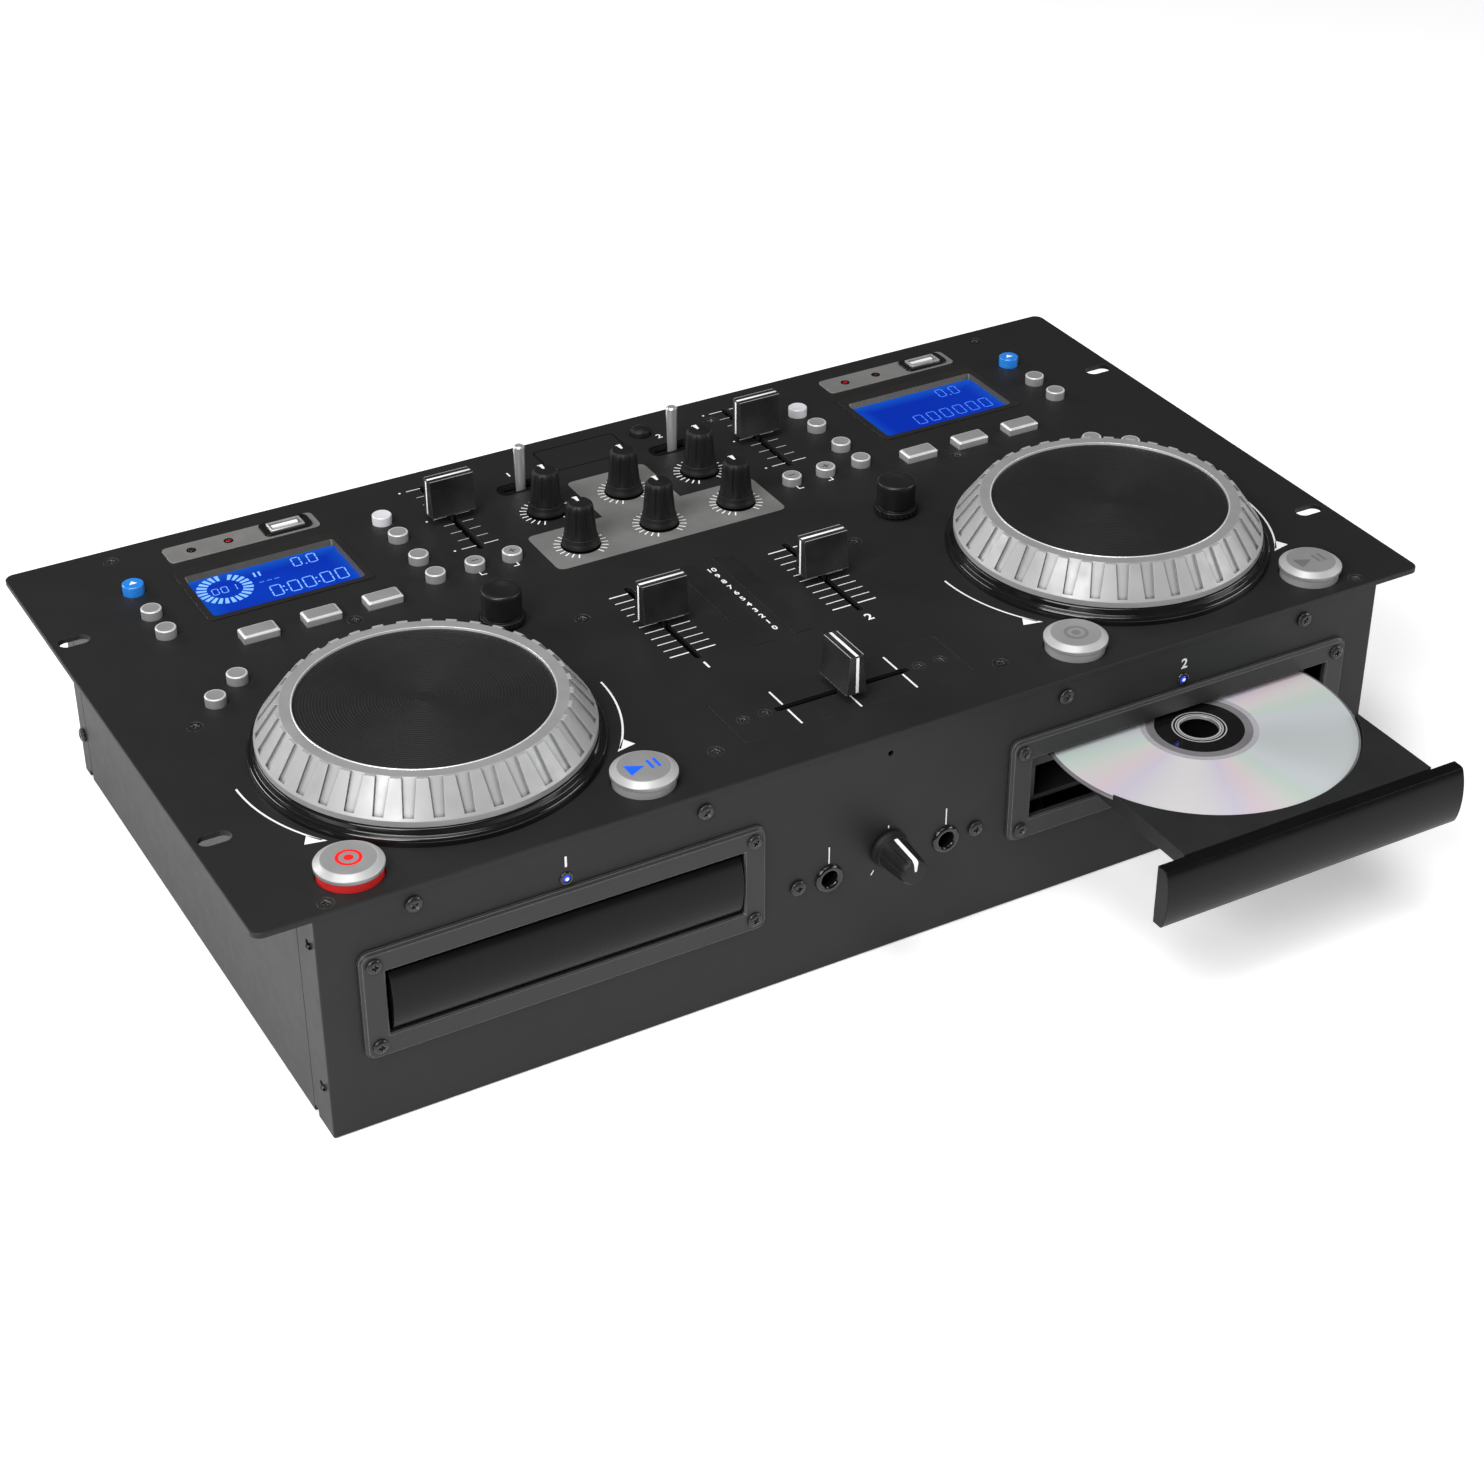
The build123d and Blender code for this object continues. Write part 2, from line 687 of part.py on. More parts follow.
with BuildPart() as usb_plates:
    for side in sides.values():
        x, y = mirrored(side, usb_place)
        socket_x = x + usb_socket_offset
        with BuildSketch(Plane.XY.offset(panel_top)):
            with Locations((x, y)):
                RectangleRounded(*usb_plate_size, 2.5)
            with Locations((socket_x, y)):
                Rectangle(14.2, 7.0, mode=Mode.SUBTRACT)
            with Locations(*[(x + offset_x, y) for offset_x in usb_led_offsets]):
                Circle(1.3, mode=Mode.SUBTRACT)
        extrude(amount=0.5)
        with BuildSketch(Plane.XY.offset(panel_top - usb_depth)):
            with Locations((socket_x, y)):
                Rectangle(14.0, 6.8)
        extrude(amount=usb_depth + 1.2)
        with BuildSketch(Plane.XY.offset(panel_top - usb_depth + 1.0)):
            with Locations((socket_x, y)):
                Rectangle(*usb_mouth)
        extrude(amount=usb_depth + 0.2, mode=Mode.SUBTRACT)
save("usb_plates", usb_plates)

with BuildPart() as indicator_leds:
    with BuildSketch(front_plane(front_inside + 4.0)):
        with Locations(*both([(loader_x, front_led_z)])):
            Circle(1.5)
    extrude(amount=6.0)
    fillet(indicator_leds.edges().filter_by(GeomType.CIRCLE).group_by(Axis.Y)[0], 0.8)
    led_places = [(side * usb_place[0] + led_x, usb_place[1]) for side in sides.values() for led_x in usb_led_offsets]
    with BuildSketch(Plane.XY.offset(panel_top)):
        with Locations(*led_places):
            Circle(1.2)
    extrude(amount=0.9)
save("indicator_leds", indicator_leds)

with BuildPart() as front_jacks:
    for side in sides.values():
        with BuildSketch(Plane(origin=(side * jack_x, body_front, jack_z), x_dir=(1, 0, 0), z_dir=(0, 0, 1))):
            with BuildLine():
                Polyline((jack_bore_radius, -1.4), (4.6, -1.4), (5.7, -0.6), (5.7, 0), (4.4, 0), (4.4, 1.6))
                Polyline((4.4, 1.6), (8.0, 1.6), (8.0, 28.0), (0, 28.0), (0, 26.0), (jack_bore_radius, 26.0))
                Line((jack_bore_radius, 26.0), (jack_bore_radius, -1.4))
            make_face()
        revolve(axis=Axis((side * jack_x, 0, jack_z), (0, 1, 0)))
save("front_jacks", front_jacks)

# ---------------------------------------------------------------- trays and disc


def tray(name, side, shift):
    """A disc tray with its two wells, the slot for the pickup and two rear runners."""
    x, y = side * loader_x, disc_y_closed - shift
    front, back = cover_back - shift, 10.7 - shift
    with BuildPart() as body:
        with BuildSketch(Plane.XY.offset(tray_bottom)):
            with Locations((x, (front + back) / 2)):
                Rectangle(2 * tray_half_width, back - front)
            with Locations(*[(x + end * (tray_half_width - 4), back + 14.5) for end in (-1, 1)]):
                Rectangle(8.0, 31.0)
        extrude(amount=tray_top - tray_bottom)
        with BuildSketch(Plane.XY.offset(well_floor)):
            with Locations((x, y)):
                Circle(disc_radius + 0.5)
        extrude(amount=tray_top - well_floor, mode=Mode.SUBTRACT)
        with BuildSketch(Plane.XY.offset(well_floor - 1.2)):
            with Locations((x, y)):
                Circle(40.5)
        extrude(amount=1.2, mode=Mode.SUBTRACT)
        with BuildSketch(Plane.XY.offset(tray_bottom)):
            with Locations((x, y)):
                Circle(17.0)
            with Locations((x, y + 26.0)):
                Rectangle(34.0, 52.0)
        extrude(amount=tray_top - tray_bottom, mode=Mode.SUBTRACT)
        with BuildSketch(Plane.XY.offset(tray_bottom)):
            with Locations(*[(x + end * 36.0, y) for end in (-1, 1)]):
                Rectangle(24.0, 90.0)
        extrude(amount=0.9, mode=Mode.SUBTRACT)
    save(name, body)


def tray_cover(name, side, shift):
    """The bulged front that closes the opening when the tray is in."""
    low, high = loader_z - tray_cover_size[1] / 2, loader_z + tray_cover_size[1] / 2
    back, edge = cover_back - shift, body_front - 2.0 - shift
    with BuildPart() as cover:
        with BuildSketch(Plane.YZ.offset(side * loader_x)):
            with BuildLine():
                Polyline((edge, low + 0.6), (edge + 0.6, low), (back, low), (back, low + 2.0), (back - 2.0, low + 2.0))
                Polyline((back - 2.0, low + 2.0), (back - 2.0, tray_bottom), (back, tray_bottom), (back, high))
                Polyline((back, high), (edge + 0.6, high), (edge, high - 0.6))
                RadiusArc((edge, high - 0.6), (edge, low + 0.6), -40.0)
            make_face()
        extrude(amount=tray_cover_size[0] / 2, both=True)
    save(name, cover)


tray_shifts = {"a": 0.0, "b": tray_stroke_shown}
for deck, side in sides.items():
    tray(f"tray_{deck}", side, tray_shifts[deck])
    tray_cover(f"tray_cover_{deck}", side, tray_shifts[deck])

with BuildPart() as disc:
    with BuildSketch(Plane.XY.offset(well_floor)):
        with Locations((loader_x, disc_y_closed - tray_stroke_shown)):
            Circle(disc_radius)
            Circle(disc_hole_radius, mode=Mode.SUBTRACT)
    extrude(amount=disc_thickness)
save("disc", disc)

# ---------------------------------------------------------------- inside

rail_gap = 0.4
loader_half_width = 64.0
loader_wall = 2.0
loader_front = -126.0
loader_rear = 62.0

with BuildPart() as loader_frames:
    for side in sides.values():
        x = side * loader_x
        loader_length = loader_rear - loader_front
        loader_middle = (loader_rear + loader_front) / 2
        with BuildSketch(Plane(origin=(x, loader_front, 0), x_dir=(1, 0, 0), z_dir=(0, -1, 0))):
            with BuildLine():
                profile = [
                    (0, 40.0),
                    (loader_half_width, 40.0),
                    (loader_half_width, 74.0),
                    (loader_half_width - loader_wall, 74.0),
                    (loader_half_width - loader_wall, 60.8),
                    (tray_half_width + rail_gap, 60.8),
                    (tray_half_width + rail_gap, tray_bottom - 0.2),
                    (50.0, tray_bottom - 0.2),
                    (50.0, tray_bottom - 3.0),
                    (loader_half_width - loader_wall, tray_bottom - 3.0),
                    (loader_half_width - loader_wall, 42.0),
                    (0, 42.0),
                    (0, 40.0),
                ]
                Polyline(*profile)
            make_face()
            mirror(about=Plane.YZ)
        extrude(amount=-loader_length)
        with BuildSketch(Plane.XY.offset(40.0)):
            with Locations((x, loader_middle - 10)):
                Rectangle(84.0, 120.0)
        extrude(amount=2.0, mode=Mode.SUBTRACT)
        with BuildSketch(Plane.XY.offset(72.0)):
            with Locations((x, disc_y_closed)):
                Rectangle(2 * loader_half_width, 28.0)
        extrude(amount=2.0)
        with BuildSketch(Plane.XY.offset(67.5)):
            with Locations((x, disc_y_closed)):
                Circle(14.0)
        extrude(amount=4.5)
        for foot_y in (loader_front + 8.0, loader_rear - 8.0):
            with BuildSketch(Plane.XY.offset(sheet)):
                with Locations((x - 56.0, foot_y), (x + 56.0, foot_y)):
                    Circle(4.0)
            extrude(amount=40.0 - sheet)
save("loader_frames", loader_frames)

with BuildPart() as drive_decks:
    for side in sides.values():
        x = side * loader_x
        with BuildSketch(Plane.XY.offset(44.0)):
            with Locations((x, disc_y_closed + 12)):
                Rectangle(70.0, 96.0)
            with Locations((x, disc_y_closed + 32)):
                Rectangle(30.0, 44.0, mode=Mode.SUBTRACT)
        extrude(amount=2.0)
        with BuildSketch(Plane.XY.offset(46.0)):
            with Locations((x, disc_y_closed)):
                Circle(14.0)
        extrude(amount=6.0)
        with BuildSketch(Plane.XY.offset(52.0)):
            with Locations((x, disc_y_closed)):
                Circle(10.0)
        extrude(amount=3.0)
        with BuildSketch(Plane.XY.offset(55.0)):
            with Locations((x, disc_y_closed)):
                Circle(7.2)
        extrude(amount=2.5)
        for rod_x in (-17.5, 17.5):
            with BuildSketch(Plane.XZ.offset(-(disc_y_closed + 10))):
                with Locations((x + rod_x, 47.5)):
                    Circle(1.5)
            extrude(amount=-46.0)
        with BuildSketch(Plane.XY.offset(46.0)):
            with Locations((x, disc_y_closed + 32)):
                Rectangle(38.0, 20.0)
        extrude(amount=5.0)
        with BuildSketch(Plane.XY.offset(51.0)):
            with Locations((x, disc_y_closed + 30)):
                Circle(3.5)
        extrude(amount=2.0)
save("drive_decks", drive_decks)

switch_places = both(
    [eject_place] + source_places + jog_mode_places + loop_places + [pitch_place] + mode_places + bend_places
)

board_post_places = [
    (189.2, -103.1),
    (79.2, -103.1),
    (202.0, 110.0),
    (202.0, 40.0),
    (108.0, 30.0),
    (108.0, 118.0),
    (18.0, 20.0),
    (50.0, -104.0),
]

with BuildPart() as circuit_boards:
    with BuildSketch(Plane.XY.offset(board_top - board_thickness)):
        with Locations(*both([(141.0, 66.0)])):
            Rectangle(132.0, 120.0)
        with Locations(*both([(68.0, 48.0)])):
            Rectangle(20.0, 12.0)
        with Locations(*both(transport_places)):
            Rectangle(26.0, 26.0)
        with Locations(*both([encoder_place])):
            Rectangle(16.0, 16.0)
        with Locations((0, 8.0)):
            Rectangle(116.0, 236.0)
            Rectangle(10.0, 10.0, mode=Mode.SUBTRACT)
    extrude(amount=board_thickness)
    with BuildSketch(Plane.XY.offset(board_top)):
        with Locations(*switch_places, *both(transport_places), dome_place):
            Rectangle(6.0, 6.0)
    extrude(amount=switch_height)
    with BuildSketch(Plane.XY.offset(board_top)):
        with Locations(*both(board_post_places)):
            Circle(1.5)
    extrude(amount=body_height - board_top)
save("circuit_boards", circuit_boards)


def fader_body(travel):
    """The slotted case of a slide control, its length along X."""
    with BuildPart() as case:
        with BuildSketch(Plane.XY.offset(board_top)):
            Rectangle(travel + 18.0, 8.0)
        extrude(amount=7.5)
        with BuildSketch(Plane.XY.offset(panel_top - 9.5)):
            Rectangle(travel + 7.0, 3.2)
        extrude(amount=5.0, mode=Mode.SUBTRACT)
    return case.part


long_fader_body = fader_body(fader_travel).rotate(Axis.Z, 90)
crossfader_body = fader_body(crossfader_travel)

with BuildPart() as mixer_controls:
    with Locations(*both([pitch_fader_place, channel_fader_place])):
        add(long_fader_body)
    with Locations(crossfader_place):
        add(crossfader_body)
    with BuildSketch(Plane.XY.offset(board_top)):
        with Locations(*knob_places, *both([encoder_place])):
            Rectangle(13.0, 13.0)
    extrude(amount=8.5)
    with BuildSketch(Plane.XY.offset(board_top)):
        with Locations(*knob_places, *both([encoder_place])):
            Circle(bushing_radius)
    extrude(amount=panel_top + 4.0 - board_top)
    with BuildSketch(Plane.XY.offset(panel_top - 9.4)):
        with Locations(*knob_places, *both([encoder_place])):
            Circle(pot_shaft_radius + running_gap)
    extrude(amount=14.0, mode=Mode.SUBTRACT)
    with BuildSketch(Plane.XY.offset(board_top)):
        with Locations(*both([toggle_place])):
            Rectangle(20.0, 9.0)
            Rectangle(14.0, 5.6, mode=Mode.SUBTRACT)
    extrude(amount=9.5)
    with BuildSketch(front_plane(toggle_place[1])):
        with Locations(*[(side * toggle_place[0], toggle_pivot) for side in sides.values()]):
            Circle(toggle_axle_radius + running_gap)
    extrude(amount=3.7, both=True, mode=Mode.SUBTRACT)
    with BuildSketch(front_plane(front_inside)):
        with Locations((0, front_knob_z)):
            Rectangle(14.0, 14.0)
    extrude(amount=-10.0)
    with BuildSketch(front_plane(front_inside)):
        with Locations((0, front_knob_z)):
            Circle(bushing_radius)
    extrude(amount=5.2)
    with BuildSketch(front_plane(front_inside + 8.4)):
        with Locations((0, front_knob_z)):
            Circle(pot_shaft_radius + running_gap)
    extrude(amount=16.0, mode=Mode.SUBTRACT)
save("mixer_controls", mixer_controls)

with BuildPart() as power_supply:
    with BuildSketch(Plane.XY.offset(sheet + 6.0)):
        with Locations((0, 76.0)):
            Rectangle(104.0, 92.0)
    extrude(amount=1.6)
    with BuildSketch(Plane.XY.offset(sheet + 7.6)):
        with Locations((-20.0, 84.0)):
            Rectangle(48.0, 40.0)
    extrude(amount=34.0)
    with BuildSketch(Plane.XY.offset(sheet + 7.6)):
        with Locations((22.0, 96.0), (40.0, 96.0)):
            Circle(8.0)
    extrude(amount=26.0)
    with BuildSketch(Plane.XY.offset(sheet)):
        with Locations((0, 76.0)):
            with GridLocations(92.0, 80.0, 2, 2):
                Circle(3.0)
    extrude(amount=6.0)
save("power_supply", power_supply)

rocker_pivot_depth = 6.0
rocker_axle_radius = 1.2

with BuildPart() as rear_sockets:
    with BuildSketch(front_plane(rear_inside)):
        with Locations((rca_columns[0] + 45.0, 53.0)):
            Rectangle(108.0, 36.0)
    extrude(amount=10.0)
    with BuildSketch(front_plane(rear_inside)):
        with Locations(*[(x, z) for x in rca_columns for z in rca_rows]):
            Circle(4.9)
    extrude(amount=-(sheet + 1.4))
    with BuildSketch(front_plane(rear_inside)):
        with Locations(*[(x, z) for x in rca_columns for z in rca_rows]):
            Circle(4.1)
    extrude(amount=-(sheet + 9.0))
    with BuildSketch(front_plane(body_rear + 1.0)):
        with Locations(inlet_place):
            Rectangle(31.0, 24.0)
    extrude(amount=1.0)
    with BuildSketch(front_plane(body_rear)):
        with Locations(inlet_place):
            Rectangle(27.0, 19.8)
    extrude(amount=19.0)
    with BuildSketch(front_plane(body_rear + 1.0)):
        with Locations(inlet_place):
            Rectangle(24.4, 16.6)
            with Locations((-6.0, 1.5), (0, -1.5), (6.0, 1.5)):
                Rectangle(2.0, 4.4, mode=Mode.SUBTRACT)
    extrude(amount=16.0, mode=Mode.SUBTRACT)
    with BuildSketch(front_plane(body_rear + 1.0)):
        with Locations(inlet_place):
            Rectangle(24.4, 16.6)
    extrude(amount=5.0, mode=Mode.SUBTRACT)
    with BuildSketch(front_plane(body_rear + 1.2)):
        with Locations(switch_place):
            Rectangle(22.0, 16.0)
            Rectangle(16.4, 10.4, mode=Mode.SUBTRACT)
    extrude(amount=1.2)
    with BuildSketch(front_plane(body_rear)):
        with Locations(switch_place):
            Rectangle(18.8, 12.8)
    extrude(amount=18.0)
    with BuildSketch(front_plane(body_rear)):
        with Locations(switch_place):
            Rectangle(16.4, 10.4)
    extrude(amount=14.0, mode=Mode.SUBTRACT)
    with BuildSketch(Plane.XY.offset(switch_place[1])):
        with Locations((switch_place[0], body_rear - rocker_pivot_depth)):
            Circle(rocker_axle_radius + running_gap)
    extrude(amount=6.0, both=True, mode=Mode.SUBTRACT)
save("rear_sockets", rear_sockets)

rocker_half = 7.0

with BuildPart() as power_rocker:
    with BuildSketch(Plane.XY.offset(switch_place[1])):
        with BuildLine():
            x, y = switch_place[0], body_rear
            Polyline((x - rocker_half, y + 2.8), (x - rocker_half, y - 3.0), (x, y - 8.0))
            Polyline((x, y - 8.0), (x + rocker_half, y - 3.0), (x + rocker_half, y + 2.8), (x, y + 1.4))
            Line((x, y + 1.4), (x - rocker_half, y + 2.8))
        make_face()
    extrude(amount=4.9, both=True)
    with BuildSketch(Plane.XY.offset(switch_place[1])):
        with Locations((x, y - rocker_pivot_depth)):
            Circle(rocker_axle_radius)
    extrude(amount=5.9, both=True)
save("power_rocker", power_rocker)

# ---------------------------------------------------------------- screws


def countersunk_screw(head_radius, shank_radius, length):
    with BuildPart() as screw:
        with BuildSketch(radial_plane(0, 0)):
            with BuildLine():
                Polyline(
                    (0, -0.1),
                    (head_radius, -0.1),
                    (shank_radius, -0.1 - (head_radius - shank_radius)),
                    (shank_radius, -length),
                    (0, -length),
                    (0, -0.1),
                )
            make_face()
        revolve(axis=Axis.Z)
    return screw.part


def pan_screws(plane, places, head_radius, head_height, length):
    with BuildPart() as group:
        with BuildSketch(plane):
            with Locations(*places):
                Circle(head_radius)
        extrude(amount=head_height)
        with BuildSketch(plane):
            with Locations(*places):
                Circle(1.4)
        extrude(amount=-length)
    return group.part


panel_screw = countersunk_screw(3.0, 1.4, 5.0)
plate_screw = countersunk_screw(2.4, 1.2, 2.2)
bezel_screw_places = [
    (side * loader_x + dx * bezel_screw_offsets[0], loader_z + dz * bezel_screw_offsets[1])
    for side in sides.values()
    for dx in (-1, 1)
    for dz in (-1, 1)
]
side_screw_places = [(y, z) for y in (body_front + 7.2, body_rear - 5.0) for z in side_screw_heights]
front_screws = pan_screws(front_plane(body_front), both(front_screw_places), 3.1, 1.7, 6.0)
bezel_screws = pan_screws(front_plane(body_front - bezel_depth), bezel_screw_places, 2.9, 1.4, 6.0)
right_screws = pan_screws(Plane.YZ.offset(body_width / 2), side_screw_places, 3.0, 1.6, 1.0)

with BuildPart() as screws:
    with Locations(*both(panel_screw_places)):
        add(panel_screw)
    with Locations(*both(crossfader_screw_places)):
        add(plate_screw)
    add(front_screws)
    add(bezel_screws)
    add(right_screws)
    add(right_screws.mirror(Plane.YZ))
save("screws", screws)
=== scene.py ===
from math import asin, cos, degrees, pi, radians, sin

import bmesh
import bpy
from mathutils import Matrix, Vector
from mathutils.geometry import tessellate_polygon


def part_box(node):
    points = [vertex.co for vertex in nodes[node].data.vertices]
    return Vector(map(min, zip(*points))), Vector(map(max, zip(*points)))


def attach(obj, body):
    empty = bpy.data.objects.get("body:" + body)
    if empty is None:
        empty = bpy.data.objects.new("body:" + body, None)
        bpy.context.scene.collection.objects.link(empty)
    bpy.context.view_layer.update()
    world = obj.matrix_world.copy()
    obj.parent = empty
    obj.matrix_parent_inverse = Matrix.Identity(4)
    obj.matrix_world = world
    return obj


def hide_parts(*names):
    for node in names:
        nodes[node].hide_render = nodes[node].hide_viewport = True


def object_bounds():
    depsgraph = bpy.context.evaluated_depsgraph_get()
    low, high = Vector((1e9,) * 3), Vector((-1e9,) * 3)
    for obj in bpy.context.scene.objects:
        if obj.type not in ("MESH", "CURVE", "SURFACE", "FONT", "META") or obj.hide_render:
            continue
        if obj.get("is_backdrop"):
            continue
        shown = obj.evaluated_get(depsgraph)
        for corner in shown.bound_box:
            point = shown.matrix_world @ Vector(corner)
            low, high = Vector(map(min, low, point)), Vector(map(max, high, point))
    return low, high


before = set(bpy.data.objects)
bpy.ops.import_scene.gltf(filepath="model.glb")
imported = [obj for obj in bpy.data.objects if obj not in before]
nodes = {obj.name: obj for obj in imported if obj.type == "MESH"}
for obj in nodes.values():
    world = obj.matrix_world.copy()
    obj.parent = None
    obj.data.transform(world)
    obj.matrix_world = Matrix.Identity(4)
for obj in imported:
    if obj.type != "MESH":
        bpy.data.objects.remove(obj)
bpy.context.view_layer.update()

# Lengths below are in millimetres, as on the drawing; meshes are scaled to metres as they are made.
METRE = 0.001
decks = {"a": -1, "b": 1}


# ---------------------------------------------------------------- reading the frame

def node_box(node):
    """Lowest and highest corner of a CAD node, in millimetres."""
    low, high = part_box(node)
    return low / METRE, high / METRE


def node_centre(node):
    low, high = node_box(node)
    return (low + high) / 2


def solid_boxes(node):
    """The boxes of the separate solids in one CAD node, in millimetres, from left to right."""
    mesh = bmesh.new()
    mesh.from_mesh(nodes[node].data)
    bmesh.ops.remove_doubles(mesh, verts=mesh.verts, dist=1e-6)
    waiting, boxes = set(mesh.verts), []
    while waiting:
        stack = [waiting.pop()]
        found = []
        while stack:
            vertex = stack.pop()
            found.append(vertex.co / METRE)
            for edge in vertex.link_edges:
                other = edge.other_vert(vertex)
                if other in waiting:
                    waiting.remove(other)
                    stack.append(other)
        low = Vector([min(p[i] for p in found) for i in range(3)])
        high = Vector([max(p[i] for p in found) for i in range(3)])
        boxes.append((low, high))
    mesh.free()
    return sorted(boxes, key=lambda box: (round(box[0].x, 1), round(box[0].y, 1)))


panel_top = node_box("top_panel")[1].z
front_face = node_box("front_panel")[0].y
rear_face = node_box("rear_panel")[1].y


# ---------------------------------------------------------------- materials

def shader(name):
    """A new material, its node tree and its shader."""
    material = bpy.data.materials.new(name)
    material.use_nodes = True
    tree = material.node_tree
    return material, tree, tree.nodes["Principled BSDF"]


def add_node(tree, kind, inputs=None, **settings):
    node = tree.nodes.new(kind)
    for key, value in settings.items():
        setattr(node, key, value)
    for key, value in (inputs or {}).items():
        if isinstance(value, bpy.types.NodeSocket):
            tree.links.new(value, node.inputs[key])
        else:
            node.inputs[key].default_value = value
    return node


def noise(tree, scale, detail=3.0, roughness=0.5):
    """Noise in the object's own space, with features about 1000 / scale millimetres across."""
    place = add_node(tree, "ShaderNodeTexCoord").outputs["Object"]
    inputs = {"Vector": place, "Scale": scale, "Detail": detail, "Roughness": roughness}
    return add_node(tree, "ShaderNodeTexNoise", inputs).outputs["Fac"]


def band(tree, value, low, high, start, end):
    """The value mapped from low..high to start..end, clamped."""
    inputs = {"Value": value, "From Min": low, "From Max": high, "To Min": start, "To Max": end}
    return add_node(tree, "ShaderNodeMapRange", inputs).outputs["Result"]


def maths(tree, operation, first, second=None):
    inputs = {0: first} if second is None else {0: first, 1: second}
    return add_node(tree, "ShaderNodeMath", inputs, operation=operation).outputs[0]


def mixed(tree, factor, first, second):
    made = add_node(tree, "ShaderNodeMix", {6: first, 7: second}, data_type="RGBA")
    tree.links.new(factor, made.inputs["Factor"])
    return made.outputs[2]


def edge_mask(tree, radius):
    """Where the edge highlight is painted: 1 on convex and concave edge bevels within this many millimetres,
    0 elsewhere.
    """
    round_normal = add_node(tree, "ShaderNodeBevel", {"Radius": radius * METRE}, samples=4).outputs["Normal"]
    true_normal = add_node(tree, "ShaderNodeNewGeometry").outputs["Normal"]
    likeness = add_node(tree, "ShaderNodeVectorMath", {0: round_normal, 1: true_normal},
                        operation="DOT_PRODUCT")
    return band(tree, likeness.outputs["Value"], 0.97, 0.80, 0.0, 1.0)


def crease_mask(tree, distance):
    """Where shade is painted: 1 in corners and grooves narrower than this many millimetres, 0 on open faces.
    """
    made = add_node(tree, "ShaderNodeAmbientOcclusion", {"Distance": distance * METRE}, samples=4,
                    only_local=True)
    return band(tree, made.outputs["AO"], 0.45, 0.9, 1.0, 0.0)


def grey(level, tint=(1.0, 1.0, 1.0)):
    return (level * tint[0], level * tint[1], level * tint[2], 1.0)


def scaled(color, factor):
    return tuple(min(1.0, c * factor) for c in color[:3]) + (1.0,)


def finish(name, color, roughness, metallic=0.0, grain=1500.0, bump=0.1, depth=0.02, mottle=0.25,
           spread=0.08, edge=None, edge_highlight=None, coat=0.0, specular=0.5, crease_shade=None):
    """A moulded, painted or metal surface with fine grain and uneven gloss, a painted highlight along its
    edge bevels and painted shade in its creases.
    """
    material, tree, surface = shader(name)
    patches = band(tree, noise(tree, 45.0, 4.0), 0.35, 0.65, 0.0, 1.0)
    body = mixed(tree, patches, scaled(color, 1 - mottle), scaled(color, 1 + mottle))
    # Painted highlight: the lighter edge colour laid over convex and concave edge bevels.
    if edge:
        body = mixed(tree, edge_mask(tree, edge), body, edge_highlight)
    # Painted shade: the colour darkened to a quarter in corners and grooves.
    if crease_shade:
        body = mixed(tree, crease_mask(tree, crease_shade), body, scaled(color, 0.25))
    tree.links.new(body, surface.inputs["Base Color"])
    gloss = band(tree, noise(tree, 160.0, 5.0), 0.3, 0.7, roughness - spread, roughness + spread)
    tree.links.new(gloss, surface.inputs["Roughness"])
    relief = add_node(tree, "ShaderNodeBump", {"Height": noise(tree, grain, 2.0), "Strength": bump,
                                               "Distance": depth * METRE})
    if edge:
        smooth = add_node(tree, "ShaderNodeBevel", {"Radius": edge * METRE}, samples=4)
        tree.links.new(smooth.outputs["Normal"], relief.inputs["Normal"])
    tree.links.new(relief.outputs["Normal"], surface.inputs["Normal"])
    surface.inputs["Metallic"].default_value = metallic
    surface.inputs["Coat Weight"].default_value = coat
    surface.inputs["Coat Roughness"].default_value = 0.08
    surface.inputs["Specular IOR Level"].default_value = specular
    return material


def glow(name, color, strength, roughness=0.3, base=None):
    """A lit surface, made uneven by a little cloudiness."""
    material, tree, surface = shader(name)
    surface.inputs["Base Color"].default_value = base or color
    surface.inputs["Roughness"].default_value = roughness
    cloud = band(tree, noise(tree, 120.0, 2.0), 0.3, 0.7, 0.85, 1.1)
    surface.inputs["Emission Color"].default_value = color
    tree.links.new(maths(tree, "MULTIPLY", cloud, strength), surface.inputs["Emission Strength"])
    return material


# The lighter edge colours in these finishes are painted highlights on edge bevels; the crease settings paint
# shade into corners and grooves.
paint = finish("panel_paint", grey(0.0125, (1, 1, 1.03)), 0.5, grain=2600, bump=0.3, depth=0.03,
               mottle=0.05, spread=0.02, edge=0.35, edge_highlight=grey(0.035), specular=0.25)
sheet_paint = finish("sheet_paint", grey(0.016, (1, 1, 1.02)), 0.46, grain=2200, bump=0.3, depth=0.03,
                     mottle=0.05, spread=0.02, edge=0.4, edge_highlight=grey(0.05), specular=0.22)
bezel_finish = finish("bezel_plastic", grey(0.024, (1, 1, 1.03)), 0.4, grain=1800, bump=0.15,
                      mottle=0.06, spread=0.03, edge=0.6, edge_highlight=grey(0.3), specular=0.3)
gloss_black = finish("gloss_black", grey(0.006), 0.12, grain=900, bump=0.03, depth=0.01, mottle=0.15,
                     spread=0.03, coat=0.3, specular=0.4)
cap_gloss = finish("cap_gloss", grey(0.02), 0.34, grain=1300, bump=0.05, depth=0.01, mottle=0.45,
                   edge=0.35, edge_highlight=grey(0.14), specular=0.4)
cover_gloss = finish("cover_gloss", grey(0.004), 0.26, bump=0.04, depth=0.01, mottle=0.1, spread=0.03,
                     edge=0.4, edge_highlight=grey(0.03), specular=0.16)
tray_grain = finish("tray_grain", grey(0.014), 0.5, grain=2400, bump=0.5, depth=0.04, mottle=0.1,
                    spread=0.04, edge=0.25, edge_highlight=grey(0.04), specular=0.3)
